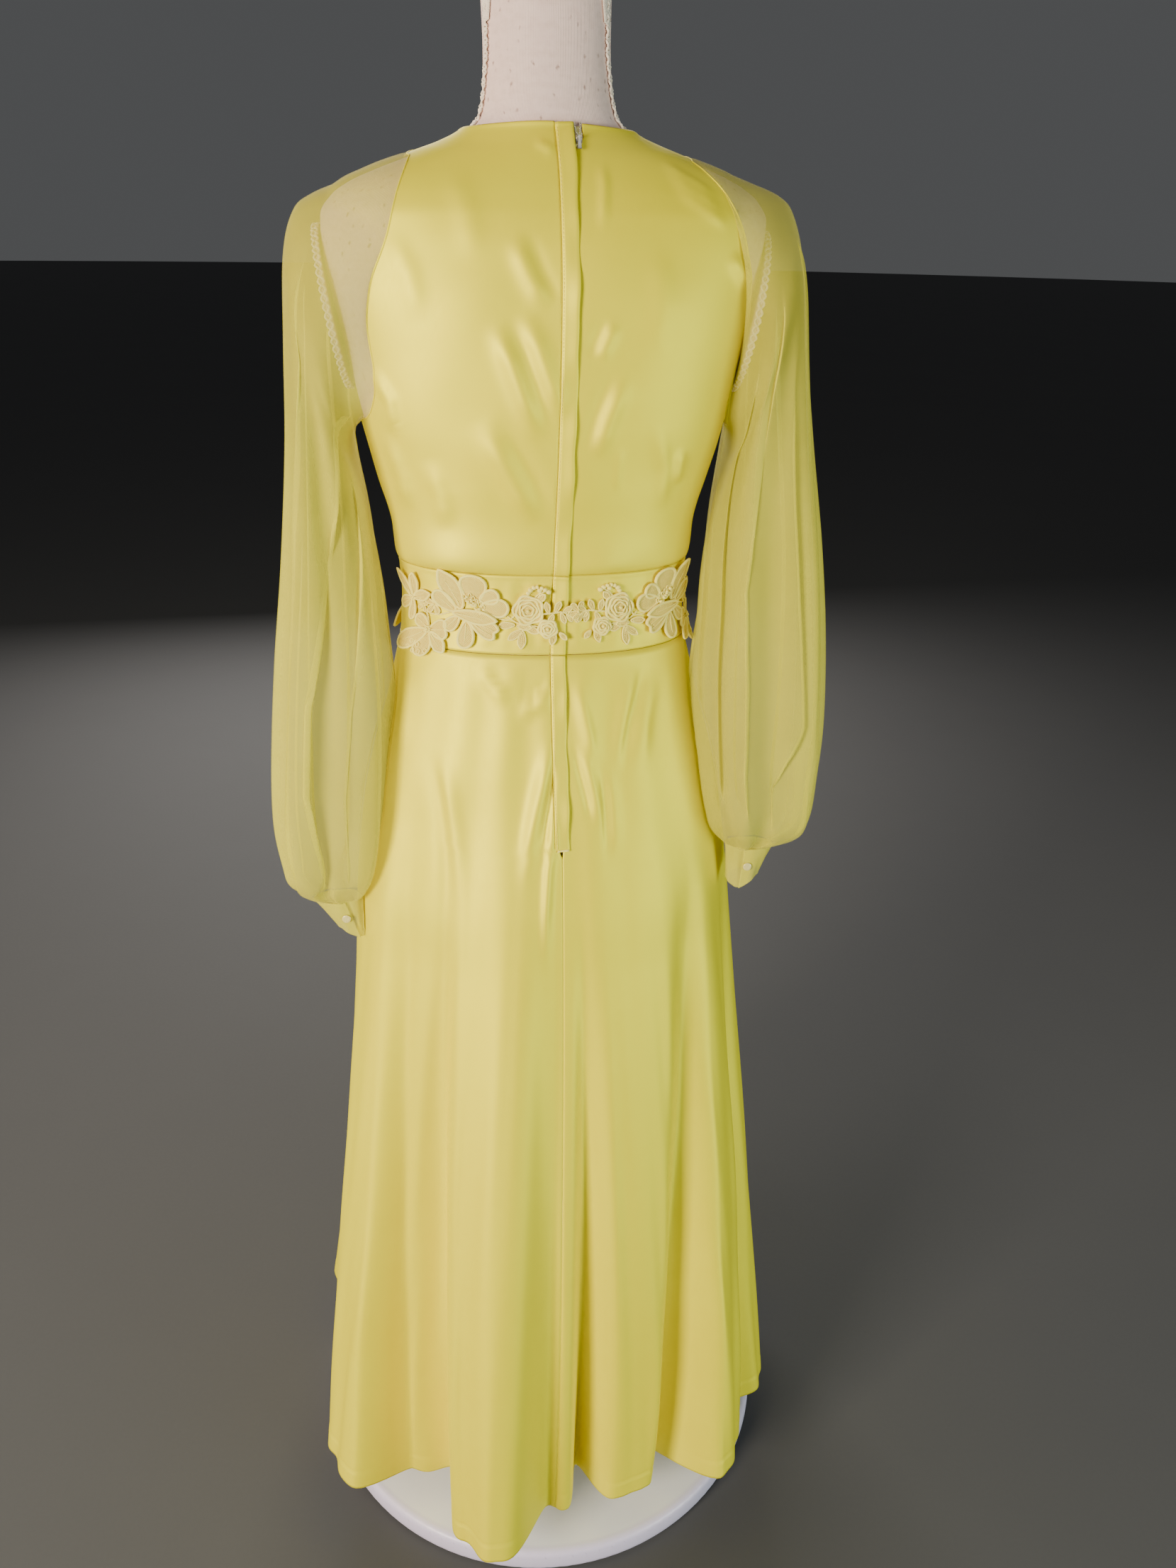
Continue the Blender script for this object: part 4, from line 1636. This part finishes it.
def slider_frame():
    """The slider's own axes at the nape: across the zip, up along the cloth, and out of it."""
    def at(aside, above):
        x = np.array([float(ZIP(SLIDER_HEIGHT)) + SLIDER_MIDDLE + aside])
        return strip_surface(x, np.array([SLIDER_HEIGHT + above]), TAPE_WALL + 0.0003)[0]

    up = unit(at(0, 0.003) - at(0, -0.003))
    across = at(0.002, 0) - at(0, 0)
    across = unit(across - up * np.dot(across, up))
    out = np.cross(across, up)
    made = np.eye(4)
    made[:3, :] = np.column_stack([across, up, out, at(0, 0) + 0.0003 * out])
    return Matrix(made.tolist())


def joined(name, pieces, material, slot, nodes, placing=Matrix.Identity(4), body="dress_and_form"):
    """Several pieces made one mesh and put in place, with its object at the origin."""
    made_active(pieces[0])
    for piece in pieces[1:]:
        piece.select_set(True)
    if len(pieces) > 1:
        bpy.ops.object.join()
    made = pieces[0]
    made.name = made.data.name = name
    made.data.transform(placing)
    made.data.materials.clear()
    made.data.materials.append(material)
    bpy.ops.object.shade_smooth_by_angle(angle=math.radians(40))
    return seated(made, slot, *nodes, body=body)


def make_slider():
    wide, long, thick = SLIDER_WIDTH, SLIDER_LENGTH, SLIDER_THICKNESS
    pivot_up = long / 2 - LUG_LENGTH / 2 - LUG_INSET
    pivot_out = thick + LUG_RISE / 2
    plate = thick * 0.36
    parts = [rounded_block((wide, long, plate), (0, 0, out), 0.0003) for out in (plate / 2, thick - plate / 2)]
    parts.append(rounded_block((wide * 0.36, long * 0.4, thick * 0.8), (0, long * 0.22, thick / 2), 0.0002))
    for sign in (-1, 1):
        lug = (sign * (wide / 2 - LUG_INSET - LUG_WIDTH / 2), pivot_up, pivot_out - LUG_INSET / 2)
        flange = (sign * (wide / 2 - 0.0003), -long * 0.2, thick * 0.5)
        parts.append(rounded_block((LUG_WIDTH, LUG_LENGTH, LUG_RISE + LUG_INSET), lug, 0.00022, 3))
        parts.append(rounded_block((0.0004, long * 0.55, thick * 0.5), flange, 0.0001))
    placing = slider_frame()
    joined("zip_slider_metal", parts, ZIP_METAL, "zip_metal", ["zip_slider"], placing)
    reach = PULL_LENGTH * 0.9
    bar = rounded_block((PULL_WIDTH, reach, PULL_THICKNESS), (0, -reach / 2, 0), 0.0003, 3)
    edited(bar, bpy.ops.mesh.subdivide, number_cuts=2)
    for vertex in bar.data.vertices:
        share = min(max((-vertex.co.y / reach - 0.45) / 0.55, 0.0), 1.0)
        vertex.co.x *= 1 + (PULL_END / PULL_WIDTH - 1) * share
        if share > 0:
            vertex.co.z *= 1 - 0.45 * math.sin(math.pi * share) * (abs(vertex.co.x) < PULL_END * 0.28)
    placing = placing @ Matrix.Translation((0, pivot_up, pivot_out))
    joined("zip_pull_metal", [bar], ZIP_METAL, "zip_metal", ["zip_pull"], placing, "pull_tab")


def make_teeth():
    """The short stretch of teeth that shows above the slider, on each side of the open neck."""
    work = Needlework()
    lift = TAPE_WALL + 0.0006 + 0.0003 * np.sin(np.linspace(0, math.pi, 5))
    for k in range(7):
        height = 1.4752 + 0.0013 * k
        parted = 0.0009 + 0.0010 * (height - 1.4745) / 0.009 * float(neck_opening(np.array(height)))
        for sign in (-1, 1):
            x = float(ZIP(height)) + SLIDER_MIDDLE + sign * np.linspace(parted, parted + 0.0014, 5)
            level = np.full(5, height + (0.00065 if sign > 0 else 0.0))
            work.cord(strip_surface(x, level, lift), 0.00042)
    work.piece("zip_teeth", [ZIP_METAL], "zip_metal")


# The form

def plate_plane(height):
    return PLATE_X + PLATE_TILT * (height - PLATE_Z)


def make_torso():
    """The padded body, cut flat at the arms and closed round a middle point at both ends."""
    height = in_stretches((TORSO_LOW, 1.40, 1.50, NECK_TOP), (72, 42, 18))[:, None]
    turn = around(120)[None, :]
    depth = np.where(np.cos(turn) > 0, FORM.at["back"](height), FORM.at["front"](height))
    angle = np.arctan2(FORM.width(turn, height) * np.sin(turn), depth * np.cos(turn))
    points = polar(angle, FORM.radius(angle, height) - FORM_CLEAR, height)
    limit = plate_plane(height) - PLATE_INSET
    points[..., 0] = np.clip(points[..., 0], -limit, limit)
    rows, columns = points.shape[:2]
    low = rows * columns
    faces = [*grid_faces(rows, columns, True)]
    faces += fan(low, 0, columns, turned=True) + fan(low + 1, low - columns, columns)
    ends = [points[0].mean(axis=0), points[-1].mean(axis=0)]
    made = meshed("torso_linen", np.concatenate([points.reshape(-1, 3), ends]), faces, [LINEN])
    edited(made, bpy.ops.mesh.normals_make_consistent, inside=False)
    bpy.ops.object.shade_smooth_by_angle(angle=math.radians(50))
    seated(made, "form_linen", "form_torso")


def braid_strands(work, path, width, up):
    """Two cords that cross and cross again, as a narrow braid."""
    ahead = unit(np.gradient(path, axis=0))
    up = np.broadcast_to(np.asarray(up, float), ahead.shape)
    aside = unit(np.cross(ahead, up))
    above = np.cross(aside, ahead)
    turn = np.arange(len(path)) * TURN / 8
    for sign in (-1, 1):
        swing = sign * width / 2 * np.sin(turn)
        rise = sign * width * 0.12 * np.sin(2 * turn)
        work.cord(path + aside * swing[:, None] + above * rise[:, None], width * 0.20, up=up)


def make_arm_plate(side, sign):
    """A flat oval plate with a rounded edge, on the tilt of its arm's plane, with a braid round it."""
    lean = math.atan(PLATE_TILT)
    seat = plate_plane(PLATE_Z) - PLATE_INSET + 0.0003 / math.cos(lean) + PLATE_THICKNESS / 2
    plate = rounded_disc(72, (PLATE_HALF_HEIGHT, PLATE_HALF_DEPTH, PLATE_THICKNESS), (0, 0, 0), 0.0014, 3)
    placing = Matrix.Translation((seat, PLATE_Y, PLATE_Z)) @ Matrix.Rotation(QUARTER + lean, 4, "Y")
    if sign < 0:
        placing = Matrix.Diagonal((-1, 1, 1, 1)) @ placing
    made = joined("arm_plate_" + side + "_linen", [plate], LINEN, "form_linen", ["form_arm_plate_" + side], placing)
    if sign < 0:
        edited(made, bpy.ops.mesh.normals_make_consistent, inside=False)
    bend = TURN * np.arange(241) / 240
    high, deep = PLATE_HALF_HEIGHT + 0.0004, PLATE_HALF_DEPTH + 0.0004
    placed = np.array([(placing @ Vector((high * math.cos(turn), deep * math.sin(turn), 0)))[:] for turn in bend])
    work = Needlework()
    braid_strands(work, placed, 0.0052, placed - placed.mean(axis=0))
    work.piece("arm_plate_" + side + "_braid", [BRAID], "form_linen")


def make_neck_cap():
    """The cap, the braids round the neck's top and down its sides, and the loops of cord below them."""
    cap = rounded_disc(96, (0.047, 0.047, 0.016), (0, 0.0045, NECK_TOP + 0.0083), 0.006, 5)
    joined("neck_cap_linen", [cap], LINEN, "form_linen", ["form_neck_cap"])
    work = Needlework()
    turn, rim = TURN * np.arange(257) / 256, np.full(257, NECK_TOP - 0.003)
    braid_strands(work, polar(turn, FORM.radius(turn, rim) + 0.0004, rim), 0.0056, (0, 0, 1))
    share = np.linspace(0, 1, 140)
    loops = TURN * np.arange(140) / 7
    for sign in (-1, 1):
        height = np.linspace(NECK_SIDE + 0.002, NECK_TOP - 0.006, 90)
        path = surface(sign * np.radians(76 - 6 * eased((height - 1.50) / 0.04)), height, 0.0004)
        braid_strands(work, path, 0.0052, path * np.array([1.0, 1.0, 0.0]))
        angle = sign * np.radians(64 + 6 * np.cos(loops) + 5 * share)
        height = NECK_TOP - 0.010 - 0.022 * share + 0.0020 * np.sin(loops)
        work.cord(surface(angle, height, 0.0005), 0.0006)
    work.piece("neck_braid", [BRAID], "form_linen")


def make_base():
    base = rounded_disc(112, (BASE_RADIUS, BASE_RADIUS, BASE_HEIGHT), (0, 0, BASE_HEIGHT / 2), 0.008, 4)
    joined("base_disc_enamel", [base], ENAMEL, "base_enamel", ["form_base"])


def make_button(side, sign):
    """A domed shell button with a sunk middle, sewn on the cuff's lap."""
    seat = cuff_points(side, sign, np.array([BUTTON_SHARE]), np.array([BUTTON_TURN]), CUFF_LAP)[0]
    bpy.ops.object.select_all(action="DESELECT")
    bpy.ops.mesh.primitive_uv_sphere_add(segments=36, ring_count=20, radius=1)
    button = bpy.context.active_object
    for vertex in button.data.vertices:
        reach = math.hypot(vertex.co.x, vertex.co.y)
        sunk = 0.35 * math.exp(-(reach / 0.45) ** 2) if vertex.co.z > 0 else 0.0
        vertex.co.x *= BUTTON_RADIUS
        vertex.co.y *= BUTTON_RADIUS
        vertex.co.z = (vertex.co.z - sunk) * BUTTON_HEIGHT / 2
    seat = Matrix.Translation(seat - np.array([0, BUTTON_HEIGHT / 2 + 0.0003, 0]))
    placing = seat @ Matrix.Rotation(QUARTER, 4, "X")
    joined("cuff_button_" + side + "_shell", [button], PEARL, "button_pearl", ["cuff_button_" + side], placing)


def make_armhole_binding(side, sign):
    """The satin edge rolled along the armhole seam, which holds the sheer sleeve."""
    work = Needlework()
    path = armhole_points(side, sign, np.arange(288) * ARM_STEPS / 288)
    work.cord(path, 0.0007, closed=True, sides=8, up=(sign, 0, 0.001))
    made = work.piece("armhole_binding_" + side, [SATIN], "satin_knit")
    edited(made, bpy.ops.mesh.normals_make_consistent, inside=False)


make_torso()
make_bodice()
make_waistband()
make_skirt()
for side_name, side_sign, sleeve_area, cuff_width in (("left", -1, 0.281, 0.125), ("right", 1, 0.273, 0.138)):
    make_arm_plate(side_name, side_sign)
    make_sleeve(side_name, side_sign)
    make_cuff(side_name, side_sign)
    make_button(side_name, side_sign)
    make_armhole_binding(side_name, side_sign)
make_neck_cap()
make_base()
make_laps()
make_stitches()
make_tape()
make_slider()
make_teeth()
make_lace()
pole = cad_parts["form_pole"]
for pole_slot in pole.material_slots:
    pole_slot.material = POLE_METAL
